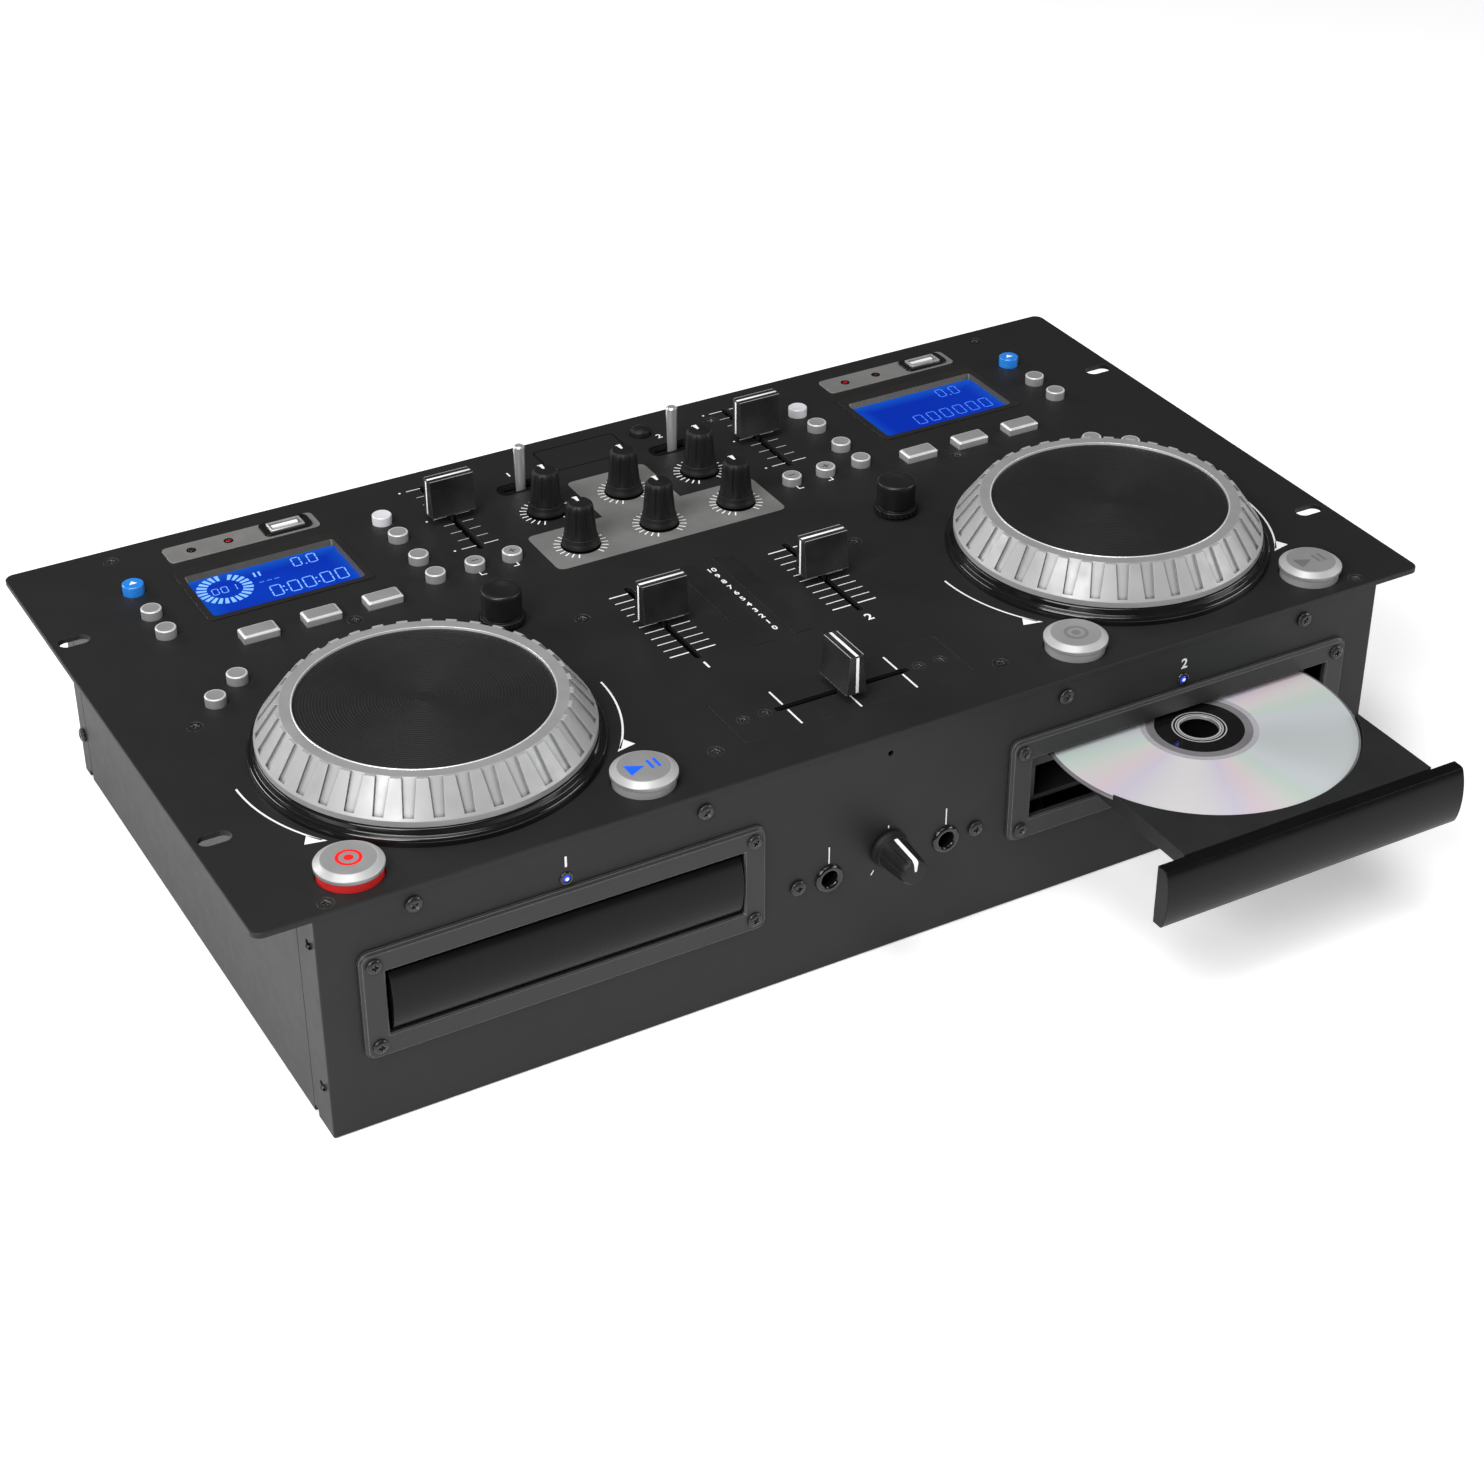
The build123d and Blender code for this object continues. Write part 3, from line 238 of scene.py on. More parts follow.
knob_rubber = finish("knob_rubber", grey(0.007), 0.52, grain=2000, bump=0.2, depth=0.03, mottle=0.15,
                     spread=0.05, specular=0.28)
encoder_plastic = finish("encoder_plastic", grey(0.009), 0.36, grain=1600, bump=0.12, mottle=0.15,
                         spread=0.05, specular=0.4)
disc_top_finish = finish("jog_disc_black", grey(0.012), 0.5, bump=0.05, depth=0.01, mottle=0.1,
                         spread=0.03, specular=0.24)
silver_paint = finish("silver_paint", grey(0.36, (1, 1, 1.01)), 0.45, metallic=0.25, grain=2600,
                      bump=0.12, mottle=0.04, edge=0.2, edge_highlight=grey(0.75), crease_shade=1.6, specular=0.4)
# A darker copy of the rim silver for the jog rim's flat top: a painted shade.
silver_shaded_flat = finish("silver_shaded_flat", grey(0.28, (1, 1, 1.01)), 0.45, metallic=0.25, grain=2600,
                     bump=0.12, mottle=0.04, specular=0.4)
lip_bright = finish("lip_bright", grey(0.8), 0.34, metallic=0.5, grain=1200, bump=0.01, mottle=0.03,
                    spread=0.03)
button_silver = finish("button_silver", grey(0.27, (1, 1, 1.01)), 0.45, metallic=0.25, grain=2600,
                       bump=0.15, mottle=0.06, edge=0.3, edge_highlight=grey(0.6))
# A lighter copy of the button silver for the caps' rounded rims and chamfers: a painted highlight.
button_rim_highlight = finish("button_rim_highlight", grey(0.62), 0.42, metallic=0.3, grain=2000, bump=0.05, mottle=0.03)
button_clear = finish("button_clear", grey(0.6, (1, 1, 1.05)), 0.3, mottle=0.05, edge=0.3,
                      edge_highlight=grey(0.9), coat=0.3)
skirt_red = glow("skirt_red", (0.55, 0.01, 0.01, 1.0), 0.35, base=(0.4, 0.02, 0.02, 1.0))
skirt_grey = finish("skirt_grey", grey(0.33), 0.22, grain=1400, bump=0.06, mottle=0.12, coat=0.4)
cap_silver = finish("transport_silver", grey(0.28, (1, 1, 1.005)), 0.44, metallic=0.3, grain=2600,
                    bump=0.15, mottle=0.05)
# A lighter copy of the transport silver for the caps' sloping band: a painted highlight.
cap_band_highlight = finish("transport_band_highlight", grey(0.44), 0.42, metallic=0.25, grain=2400, mottle=0.04)
mark_blue = glow("mark_blue", (0.006, 0.08, 0.8, 1.0), 0.55, base=(0.01, 0.08, 0.6, 1.0))
mark_red = glow("mark_red", (0.85, 0.006, 0.006, 1.0), 0.6, base=(0.7, 0.01, 0.01, 1.0))
mark_pressed = finish("mark_pressed", grey(0.2), 0.42, metallic=0.3, grain=2400, bump=0.15, mottle=0.08)
chrome = finish("chrome", grey(0.75), 0.3, metallic=0.75, grain=600, bump=0.02, mottle=0.03, spread=0.03)
dull_metal = finish("dull_metal", grey(0.3, (1, 0.98, 0.94)), 0.42, metallic=0.9, grain=1400, bump=0.12,
                    mottle=0.15)
bright_metal = finish("bright_metal", grey(0.45), 0.36, metallic=0.6, bump=0.03, mottle=0.1)
dark_metal = finish("dark_metal", grey(0.012), 0.5, metallic=0.3, bump=0.15, mottle=0.2)
# Near-black for grooves, slots and wells, and for the ring of painted shade round each knob's foot.
groove_and_shade_black = finish("groove_and_shade_black", grey(0.002), 0.6, mottle=0.2, specular=0.1)
screw_black = finish("screw_black", grey(0.016), 0.3, metallic=0.2, grain=1800, bump=0.05, mottle=0.3,
                     edge=0.3, edge_highlight=grey(0.3), crease_shade=1.0)
plate_silver = finish("plate_silver", grey(0.2, (1, 0.99, 0.97)), 0.42, metallic=0.3, grain=2200,
                      bump=0.2, mottle=0.06, edge=0.25, edge_highlight=grey(0.45))
tongue_white = finish("tongue_white", grey(0.75), 0.4)
inner_plastic = finish("inner_plastic", grey(0.015), 0.55, grain=1200, bump=0.2, mottle=0.2)
board_green = finish("board_green", (0.01, 0.09, 0.035, 1.0), 0.4, grain=900, bump=0.15, mottle=0.35)
supply_finish = finish("supply_finish", (0.12, 0.07, 0.02, 1.0), 0.5, grain=900, bump=0.2, mottle=0.4)
ink = finish("white_ink", grey(0.8), 0.5, grain=2600, bump=0.15, mottle=0.04)
# Grey ink for the pitch scale's short marks, and also for the painted highlight strips on the fader caps'
# rims.
grey_ink_and_highlight = finish("grey_ink_and_glint", grey(0.42), 0.5, grain=2600, bump=0.15, mottle=0.06)
ink_dark = finish("dark_ink", grey(0.03), 0.45, grain=2600, bump=0.15, mottle=0.1)
window_frame = finish("window_frame", grey(0.016, (1.05, 1, 0.95)), 0.3, grain=1200, bump=0.02,
                      mottle=0.1, spread=0.03, specular=0.4)
window_slope = finish("window_slope", grey(0.055, (1.05, 1, 0.94)), 0.4, grain=1400, bump=0.02,
                      mottle=0.03)
meter_smoke = finish("meter_smoke", grey(0.012), 0.42, grain=900, bump=0.04, mottle=0.1, spread=0.03,
                     edge=0.2, edge_highlight=grey(0.05), specular=0.3)
digit_light = glow("digit_light", (0.13, 0.29, 0.7, 1.0), 0.85)
digit_dim = glow("digit_dim", (0.05, 0.15, 0.6, 1.0), 0.85)
blue_light = glow("blue_light", (0.01, 0.04, 0.7, 1.0), 0.9)
blue_cap = finish("blue_cap", (0.015, 0.19, 0.62, 1.0), 0.3, grain=1400, bump=0.08, mottle=0.15,
                  edge=0.3, edge_highlight=(0.1, 0.45, 0.95, 1.0), coat=0.3)
lamp_core = glow("lamp_core", (0.5, 0.58, 1.0, 1.0), 1.0)
red_lamp = glow("red_lamp", (0.42, 0.0, 0.006, 1.0), 0.3, roughness=0.15, base=(0.2, 0.0, 0.006, 1.0))
dark_lamp = finish("dark_lamp", (0.035, 0.006, 0.01, 1.0), 0.12, grain=800, bump=0.03, mottle=0.2,
                   coat=0.5)
disc_hub = finish("disc_hub_clear", grey(0.16, (1, 0.96, 1.02)), 0.2, grain=500, bump=0.02, mottle=0.15,
                  spread=0.03, coat=0.3)
disc_ring = finish("disc_hub_ring", grey(0.6), 0.3, metallic=0.4, grain=500, bump=0.02, mottle=0.05,
                   spread=0.03)
disc_dark = finish("disc_hub_dark", grey(0.006), 0.1, grain=500, bump=0.02, mottle=0.2, spread=0.03,
                   coat=0.3, specular=0.4)
disc_pale = finish("disc_hub_pale", grey(0.42, (1, 0.98, 1.04)), 0.25, metallic=0.2, grain=500,
                   bump=0.02, mottle=0.08)


# ---------------------------------------------------------------- mesh building

IDENTITY = Matrix.Identity(4)


def at(x, y, z, tilt=IDENTITY):
    return Matrix.Translation((x, y, z)) @ tilt


def on_panel(node, tilt=IDENTITY):
    """The place on the panel's top face under a node's middle."""
    middle = node_centre(node)
    return at(middle.x, middle.y, panel_top, tilt)


# Each of these turns a shape drawn along +Z so that it points out of the front, the rear or a side.
OUT_OF_FRONT = Matrix.Rotation(radians(90), 4, "X")
OUT_OF_REAR = Matrix.Rotation(radians(180), 4, "Z") @ OUT_OF_FRONT
OUT_OF_RIGHT = Matrix.Rotation(radians(90), 4, "Z") @ OUT_OF_FRONT
OUT_OF_LEFT = Matrix.Rotation(radians(-90), 4, "Z") @ OUT_OF_FRONT
# Turns a shape drawn flat so that its outline lies in the YZ plane and its height runs along X.
YZ_PLANE = Matrix(((0, 0, 1, 0), (1, 0, 0, 0), (0, 1, 0, 0), (0, 0, 0, 1)))


def arc_points(radius, start, end, steps, centre=(0.0, 0.0)):
    """Points on an arc, its angles in degrees."""
    points = []
    for i in range(steps + 1):
        turn = radians(start + (end - start) * i / steps)
        points.append((centre[0] + radius * cos(turn), centre[1] + radius * sin(turn)))
    return points


def circle(radius, steps=32, centre=(0.0, 0.0)):
    return arc_points(radius, 0, 360, steps, centre)[:-1]


def rectangle(width, height, centre=(0.0, 0.0)):
    x, y = centre
    return [(x - width / 2, y - height / 2), (x + width / 2, y - height / 2),
            (x + width / 2, y + height / 2), (x - width / 2, y + height / 2)]


def dome(radius, base, height, step):
    """A dome's profile, from its top down to its rim, with a point every so many degrees."""
    turns = [radians(turn) for turn in range(0, 91, step)]
    return [(radius * sin(turn), base + height * cos(turn)) for turn in turns]


def round_corners(outline, radius, steps=5, closed=True):
    """The outline with each corner turned into a smooth curve, of one radius or of one for each corner."""
    count = len(outline)
    radii = radius if isinstance(radius, (list, tuple)) else [radius] * count
    result = []
    for i, corner in enumerate(outline):
        if radii[i] <= 0 or (not closed and i in (0, count - 1)):
            result.append(tuple(corner))
            continue
        here = Vector(corner)
        before, after = Vector(outline[i - 1]) - here, Vector(outline[(i + 1) % count]) - here
        reach = min(radii[i], before.length * 0.49, after.length * 0.49)
        start, end = here + before.normalized() * reach, here + after.normalized() * reach
        for j in range(steps + 1):
            t = j / steps
            result.append(tuple(start * (1 - t) ** 2 + here * 2 * t * (1 - t) + end * t**2))
    return result


def round_box(width, height, radius, steps, centre=(0.0, 0.0)):
    return round_corners(rectangle(width, height, centre), radius, steps)


def add_object(name, data):
    made = bpy.data.objects.new(name, data)
    bpy.context.scene.collection.objects.link(made)
    return made


class Shape:
    """A mesh under construction, in millimetres."""

    def __init__(self):
        self.mesh = bmesh.new()

    def face(self, vertices, look=0):
        corners = list(dict.fromkeys(vertices))
        if len(corners) > 2:
            self.mesh.faces.new(corners).material_index = look

    def grid(self, rows, look=0, wrap=True, looks=None):
        """Faces between successive rows of points; wrap joins each row's end to its start."""
        rings = [[self.mesh.verts.new(point) for point in row] for row in rows]
        for k, (lower, upper) in enumerate(zip(rings, rings[1:])):
            count = len(lower)
            for i in range(count if wrap else count - 1):
                j = (i + 1) % count
                self.face([lower[i], lower[j], upper[j], upper[i]], looks[k] if looks else look)

    def lathe(self, profile, steps=64, place=IDENTITY, look=0, looks=None):
        """Turns a profile of (radius, height) points round Z."""
        rings = []
        for radius, height in profile:
            points = circle(radius, steps) if radius > 1e-6 else [(0.0, 0.0)]
            rings.append([self.mesh.verts.new(place @ Vector((x, y, height))) for x, y in points])
        for k, (lower, upper) in enumerate(zip(rings, rings[1:])):
            for i in range(steps):
                ends = (lower, i), (lower, i + 1), (upper, i + 1), (upper, i)
                corners = [ring[number % len(ring)] for ring, number in ends]
                self.face(corners, looks[k] if looks else look)
        return self

    def cap(self, loops, height, place=IDENTITY, look=0, down=False):
        """A flat face with holes: the first loop is its outline."""
        vertices = [self.mesh.verts.new(place @ Vector((x, y, height))) for loop in loops for x, y in loop]
        flat = [[Vector((x, y, 0)) for x, y in loop] for loop in loops]
        for triangle in tessellate_polygon(flat):
            corners = [vertices[number] for number in triangle]
            self.face(corners[::-1] if down else corners, look)
        return self

    def plate(self, loops, low, high, place=IDENTITY):
        """A flat plate with holes, between two heights."""
        self.cap(loops, high, place)
        self.cap(loops, low, place, down=True)
        for number, loop in enumerate(loops):
            bottom = [place @ Vector((x, y, low)) for x, y in loop]
            top = [place @ Vector((x, y, high)) for x, y in loop]
            self.grid([bottom, top] if number == 0 else [top, bottom])
        return self

    def line(self, points, width, height, place=IDENTITY, closed=False):
        """A flat printed line of one width, with mitred corners."""
        count = len(points)
        left, right = [], []
        for i, point in enumerate(points):
            here = Vector(point)
            before = here - Vector(points[i - 1]) if closed or i > 0 else None
            after = Vector(points[(i + 1) % count]) - here if closed or i < count - 1 else None
            before, after = before or after, after or before
            one, two = before.normalized(), after.normalized()
            along = (one + two).normalized()
            side = Vector((-along.y, along.x)) * (width / 2) / max(0.4, abs(along.dot(one)))
            left.append(here + side)
            right.append(here - side)
        rows = [[place @ Vector((p.x, p.y, height)) for p in row] for row in (right, left)]
        self.grid(rows, wrap=closed)

    def finish(self, name, body, materials, smooth=32.0, bevel=0.0, slot=None):
        """Makes the object, in metres, and lets it ride on a body."""
        bmesh.ops.remove_doubles(self.mesh, verts=self.mesh.verts, dist=1e-4)
        bmesh.ops.recalc_face_normals(self.mesh, faces=self.mesh.faces)
        bmesh.ops.scale(self.mesh, vec=(METRE,) * 3, verts=self.mesh.verts)
        data = bpy.data.meshes.new(name)
        self.mesh.to_mesh(data)
        self.mesh.free()
        for material in materials if isinstance(materials, (list, tuple)) else [materials]:
            data.materials.append(material)
        data.shade_smooth()
        data.set_sharp_from_angle(angle=radians(smooth))
        piece = add_object(name, data)
        if bevel:
            modifier = piece.modifiers.new("soft_edges", "BEVEL")
            modifier.width = bevel * METRE
            modifier.segments = 2
            modifier.limit_method = "ANGLE"
            modifier.angle_limit = radians(smooth)
            modifier.harden_normals = True
        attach(piece, body)
        return piece


def dress(node, material, smooth=30.0):
    """Gives a CAD node its finish and smooth shading."""
    data = nodes[node].data
    data.materials.clear()
    data.materials.append(material)
    data.shade_smooth()
    data.set_sharp_from_angle(angle=radians(smooth))


# ---------------------------------------------------------------- housing

node_finishes = {
    "top_panel": paint, "crossfader_plate": paint, "chassis_tray": sheet_paint, "front_panel": sheet_paint,
    "rear_panel": sheet_paint, "tray_bezels": bezel_finish, "loader_frames": inner_plastic,
    "drive_decks": dull_metal, "circuit_boards": board_green, "mixer_controls": dark_metal,
    "power_supply": supply_finish, "power_rocker": encoder_plastic,
    "tray_a": tray_grain, "tray_b": tray_grain,
}
for node, node_finish in node_finishes.items():
    dress(node, node_finish)

# ---------------------------------------------------------------- screws

cross_arm, cross_half, cross_corner = 1.55, 0.42, 0.62
# The recess's depth, and how much narrower its floor is than its mouth.
recess_depth, recess_taper = 1.0, 0.6
countersunk_drop = 0.12
screw_rise, screw_drop = 1.3, 0.75


def cross_recess(scale):
    """The outline of the cross cut into a screw's head, its inner corners eased."""
    quarter = [(cross_arm, cross_half), (cross_corner, cross_corner), (cross_half, cross_arm)]
    points = []
    for i in range(4):
        turn = Matrix.Rotation(radians(90 * i), 2)
        points += [tuple(turn @ Vector(p) * scale) for p in quarter]
    return points


def screw_head(shape, place, radius, rise, drop):
    """A head with a cross recess. rise is its height at the middle, and drop how far its edge falls."""
    mouth = cross_recess(radius / 3.0)
    foot = [(x * recess_taper, y * recess_taper) for x, y in mouth]
    flat = radius * 0.66
    shape.cap([circle(flat, 32), mouth], rise, place)
    rows = ((foot, rise - recess_depth), (mouth, rise))
    shape.grid([[place @ Vector((x, y, z)) for x, y in row] for row, z in rows])
    shape.cap([foot], rise - recess_depth, place)
    side = [(radius, rise - drop - 0.5), (radius, rise - drop), (radius * 0.9, rise - drop * 0.45),
            (flat, rise)]
    shape.lathe(side, 32, place)


# Each screw's cross is turned by an angle that follows from its place.
screw_shape = Shape()
for low, high in solid_boxes("screws"):
    middle, size = (low + high) / 2, high - low
    if size.z < 5.5 and size.x > 4.0 and size.y > 4.0 and high.z > panel_top - 1.0:
        place = at(middle.x, middle.y, high.z, Matrix.Rotation(middle.x, 4, "Z"))
        screw_head(screw_shape, place, size.x / 2, 0.0, countersunk_drop)
    elif high.y < 0 and size.y > 4.5:
        spin = Matrix.Rotation(middle.x * 0.7, 4, "Z")
        place = at(middle.x, low.y + screw_rise, middle.z, OUT_OF_FRONT @ spin)
        screw_head(screw_shape, place, size.x / 2, screw_rise, screw_drop)
    else:
        right = middle.x > 0
        side, face = (OUT_OF_RIGHT, high.x - screw_rise) if right else (OUT_OF_LEFT, low.x + screw_rise)
        spin = Matrix.Rotation(middle.y + middle.z, 4, "Z")
        screw_head(screw_shape, at(face, middle.y, middle.z, side @ spin), size.y / 2, screw_rise, screw_drop)
screw_piece = screw_shape.finish("cross_head_screws", "console", screw_black, slot="screw")
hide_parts("screws")

# ---------------------------------------------------------------- jog wheels

groove_count = 36
groove_depth = 1.05
groove_top_half, groove_foot_half = 2.5, 1.85
# How far down the slope a groove reaches.
groove_reach = 0.918
disc_radius, flat_radius, shoulder_radius, rim_radius = 46.0, 46.7, 52.0, 60.5
disc_top, rim_top, rim_side_top, rim_foot = 19.42, 20.0, 8.3, 6.0
ring_pitch, first_ring, ring_depth = 1.15, 3.0, 0.14


def jog_rim(shape, place):
    """The silver rim: a flat top, then a slope with a finger groove every ten degrees."""
    shoulder = Vector((shoulder_radius, rim_top))
    slope = Vector((rim_radius, rim_side_top)) - shoulder
    inward = Vector((slope.y, -slope.x)).normalized() * groove_depth
    foot = shoulder + slope * groove_reach
    floor_start = shoulder + inward
    groove_start = floor_start + slope * ((rim_top - floor_start.y) / slope.y)
    outer = [(rim_radius, rim_side_top), (rim_radius, rim_foot), (rim_radius - 3, rim_foot)]
    land = [(flat_radius, rim_top), groove_start, shoulder, foot, foot] + outer
    groove = [(flat_radius, rim_top), groove_start, floor_start, foot + inward, foot] + outer
    top_half = degrees(asin(groove_top_half / groove_start.x))
    foot_half = degrees(asin(groove_foot_half / foot.x))
    halves = [top_half, top_half, top_half * 0.98] + [foot_half] * 5
    rows = []
    for k, half in enumerate(halves):
        columns = [(land[k], -half), (groove[k], -half), (groove[k], 0), (groove[k], half), (land[k], half),
                   (land[k], 180 / groove_count)]
        row = []
        for i in range(groove_count):
            for (radius, height), turn in columns:
                angle = radians(360 / groove_count * i + turn)
                row.append(place @ Vector((radius * cos(angle), radius * sin(angle), height)))
        rows.append(row)
    # The first band, the flat top, takes the darker silver, a painted shade.
    shape.grid(rows, looks=[1] + [0] * 6)


def jog_top(shape, place):
    """The black disc with its fine concentric rings, and the bright lip round it."""
    profile = [(0, disc_top - 0.02), (2.4, disc_top - 0.02)]
    radius = first_ring
    while radius < disc_radius - 1.4:
        profile += [(radius, disc_top), (radius + 0.45 * ring_pitch, disc_top),
                    (radius + 0.72 * ring_pitch, disc_top - ring_depth)]
        radius += ring_pitch
    profile += [(disc_radius - 0.5, disc_top), (disc_radius, disc_top - 0.12), (disc_radius, 18.7)]
    shape.lathe(profile, 120, place, look=1)
    lip = [(disc_radius + 0.1, 18.7), (disc_radius + 0.15, 20.2), (disc_radius + 0.5, 20.2),
           (flat_radius, rim_top)]
    shape.lathe(round_corners(lip, 0.2, 3, closed=False), 144, place, look=2)


# The wheel's underside and its stem, and the ring that it turns in, as in the solids.
jog_stem = [(0, -13), (5, -13), (5, 5.6), (8, 5.6), (8, 16.8), (49, 16.8), (57.5, rim_foot)]
base_outside = round_corners(
    [(56.5, 1.5), (57.6, 5.5), (60.9, 5.7), (61.5, 3.3), (63.2, 3.2), (63.7, 1.6), (63.7, 0.02)],
    [0, 0.5, 0.6, 0.5, 1.0, 0.5, 0], 4, closed=False)
base_inside = [(5.05, -11), (9, -11), (9, 1.5), (56.5, 1.5)]
base_shape = Shape()
for deck in decks:
    wheel = f"jog_wheel_{deck}"
    place = on_panel(wheel)
    rim = Shape()
    jog_rim(rim, place)
    rim.finish(f"jog_rim_{deck}", f"jog_{deck}", [silver_paint, silver_shaded_flat], smooth=20, bevel=0.12,
               slot="wheel")
    top = Shape()
    jog_top(top, place)
    top.lathe(jog_stem, 48, place, look=1)
    top_looks = [silver_paint, disc_top_finish, lip_bright]
    top_piece = top.finish(f"jog_top_{deck}", f"jog_{deck}", top_looks, smooth=25, slot="wheel")
    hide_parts(wheel)
    base_shape.lathe(base_outside, 160, place)
    base_shape.lathe(base_inside, 48, place)
base_piece = base_shape.finish("jog_base_rings", "console", gloss_black, smooth=40, slot="base_gloss")
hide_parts("jog_bases")

# ---------------------------------------------------------------- buttons

# The profile of a cap 4 mm in radius, from its middle down its side.
cap_profile = [(0, -0.12), (2.6, -0.1), (3.3, -0.03), (3.45, 0.0), (3.62, -0.03), (3.92, -0.26), (4.0, -0.45),
               (4.0, -7.0)]
profile_radius = 4.0
# The CAD's caps are this much taller than the ones in the photo, and have a flange this wide under the panel.
cap_sink, flange_width = 0.6, 0.8
mark_sink = cap_sink + 0.05
mark_width, mark_half, plus_gap = 0.45, 1.5, 0.22


def round_buttons(node, body, looks):
    """Round caps: a flat top, a rim in a lighter silver that is a painted highlight, and a straight side."""
    shape = Shape()
    for low, high in solid_boxes(node):
        middle = (low + high) / 2
        scale = ((high.x - low.x) / 2 - flange_width) / profile_radius
        profile = [(radius * scale, height) for radius, height in cap_profile]
        shape.lathe(profile, 48, at(middle.x, middle.y, high.z - cap_sink), looks=[0, 0, 1, 1, 1, 1, 0])
    piece = shape.finish(f"{node}_caps", body, looks, smooth=25, slot="button_silver")
    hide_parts(node)


def loop_buttons(node, body):
    """Rectangular caps whose chamfer is a lighter silver, a painted highlight."""
    shape = Shape()
    for low, high in solid_boxes(node):
        middle = (low + high) / 2
        width, length = high.x - low.x - 2 * flange_width, high.y - low.y - 2 * flange_width
        outline = round_box(width, length, 0.9, 4)
        place = at(middle.x, middle.y, high.z - cap_sink)
        rows = []
        for inset, fall in ((0.0, 6.0), (0.0, 0.75), (0.12, 0.5), (0.65, 0.05), (0.95, 0.0)):
            k_x, k_y = 1 - 2 * inset / width, 1 - 2 * inset / length
            flat = [(x * k_x, y * k_y) for x, y in outline]
            rows.append([place @ Vector((x, y, -fall)) for x, y in flat])
        shape.grid(rows, looks=[0, 1, 1, 1])
        shape.cap([flat], 0, place)
    name = node.replace("buttons", "caps")
    piece = shape.finish(name, body, [button_silver, button_rim_highlight], smooth=28, slot="button_silver")
    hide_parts(node)


for deck in decks:
    silver_looks = [button_silver, button_rim_highlight]
    for group, looks in (("outer_buttons", silver_looks), ("mode_buttons", silver_looks),
                         ("bend_buttons", silver_looks), ("pitch_button", [button_clear, button_clear]),
                         ("eject_button", [blue_cap, blue_cap])):
        round_buttons(f"{group}_{deck}", f"{group}_{deck}_keys", looks)
    loop_buttons(f"loop_buttons_{deck}", f"loop_buttons_{deck}_keys")

    marks = Shape()
    for (low, high), crossed in zip(solid_boxes(f"bend_buttons_{deck}"), (False, True)):
        place = at((low.x + high.x) / 2, (low.y + high.y) / 2, high.z - mark_sink)
        marks.line([(-mark_half, 0), (mark_half, 0)], mark_width, 0, place)
        if crossed:
            marks.line([(0, -mark_half), (0, -plus_gap)], mark_width, 0, place)
            marks.line([(0, plus_gap), (0, mark_half)], mark_width, 0, place)
    marks.finish(f"bend_marks_{deck}", f"bend_buttons_{deck}_keys", ink_dark)

    eject = Shape()
    centre = node_centre(f"eject_button_{deck}")
    top = node_box(f"eject_button_{deck}")[1].z - mark_sink
    eject.cap([[(-1.7, -0.8), (1.7, -0.8), (0, 1.5)]], 0, at(centre.x, centre.y, top))
    eject.finish(f"eject_mark_{deck}", f"eject_button_{deck}_keys", ink)

# The cue and play caps: a silver cap on a clear skirt, which glows on the lit one.
transport_profile = [(0, 0), (9.5, 0), (9.8, -0.06), (10.05, -0.22), (11.95, -1.5), (12.1, -1.75),
                     (12.1, -2.9), (11.9, -3.1), (11.4, -3.2), (11.4, -8.6)]
play_triangle = [(-6.4, -3.3), (0.2, 0), (-6.4, 3.3)]
play_bars, play_bar_size = (2.4, 5.0), (1.1, 5.4)
cue_ring_outer, cue_ring_inner, cue_dot = 4.6, 3.4, 1.7


def transport_cap(node, skirt):
    middle = node_centre(node)
    top = node_box(node)[1].z
    place = at(middle.x, middle.y, top)
    # The sloping band round each cap's top takes the lighter silver, a painted highlight.
    shape = Shape().lathe(transport_profile, 72, place, looks=[0, 1, 1, 1, 1, 0, 0, 2, 2])
    looks = [cap_silver, cap_band_highlight, skirt]
    piece = shape.finish(f"{node}_cap", f"{node}_keys", looks, smooth=24, slot="button_silver")
    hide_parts(node)
    return at(middle.x, middle.y, top + 0.05)


for deck in decks:
    lit = deck == "a"
    play_place = transport_cap(f"play_button_{deck}", skirt_grey)
    cue_place = transport_cap(f"cue_button_{deck}", skirt_red if lit else skirt_grey)
    play_mark = Shape().cap([play_triangle], 0, play_place)
    for bar in play_bars:
        play_mark.cap([rectangle(*play_bar_size, (bar, 0))], 0, play_place)
    play_mark.finish(f"play_mark_{deck}", f"play_button_{deck}_keys", mark_blue if lit else mark_pressed)
    cue_mark = Shape().cap([circle(cue_ring_outer, 48), circle(cue_ring_inner, 48)], 0, cue_place)
    cue_mark.cap([circle(cue_dot, 32)], 0, cue_place)
    cue_mark.finish(f"cue_mark_{deck}", f"cue_button_{deck}_keys", mark_red if lit else mark_pressed)

low, high = node_box("dome_button")
dome_radius = (high.x - low.x) / 2 - flange_width
dome_profile = dome(dome_radius, 1.6, 2.0, 10) + [(dome_radius, -3.0)]
dome_shape = Shape().lathe(dome_profile, 40, on_panel("dome_button"))
dome_piece = dome_shape.finish("dome_cap", "dome_key", knob_rubber, smooth=50, slot="dome_black")
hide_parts("dome_button")

# ---------------------------------------------------------------- knobs

flute_count, flute_depth = 10, 0.5
knob_foot, knob_top, crown_radius = 4.7, 19.0, 3.68
knob_radius, knob_taper = 6.55, 1.25
knob_heights = (4.7, 5.1, 7.0, 10.0, 13.0, 16.0, 17.6, 18.3, 18.75, 18.95)
knob_skirt = round_corners([(5.0, 0.9), (7.7, 0.9), (7.65, 1.9), (7.1, 3.2), (6.85, 4.7), (6.5, 4.75)],
                           [0, 0.3, 0.3, 0.6, 0.15, 0], 3, closed=False)
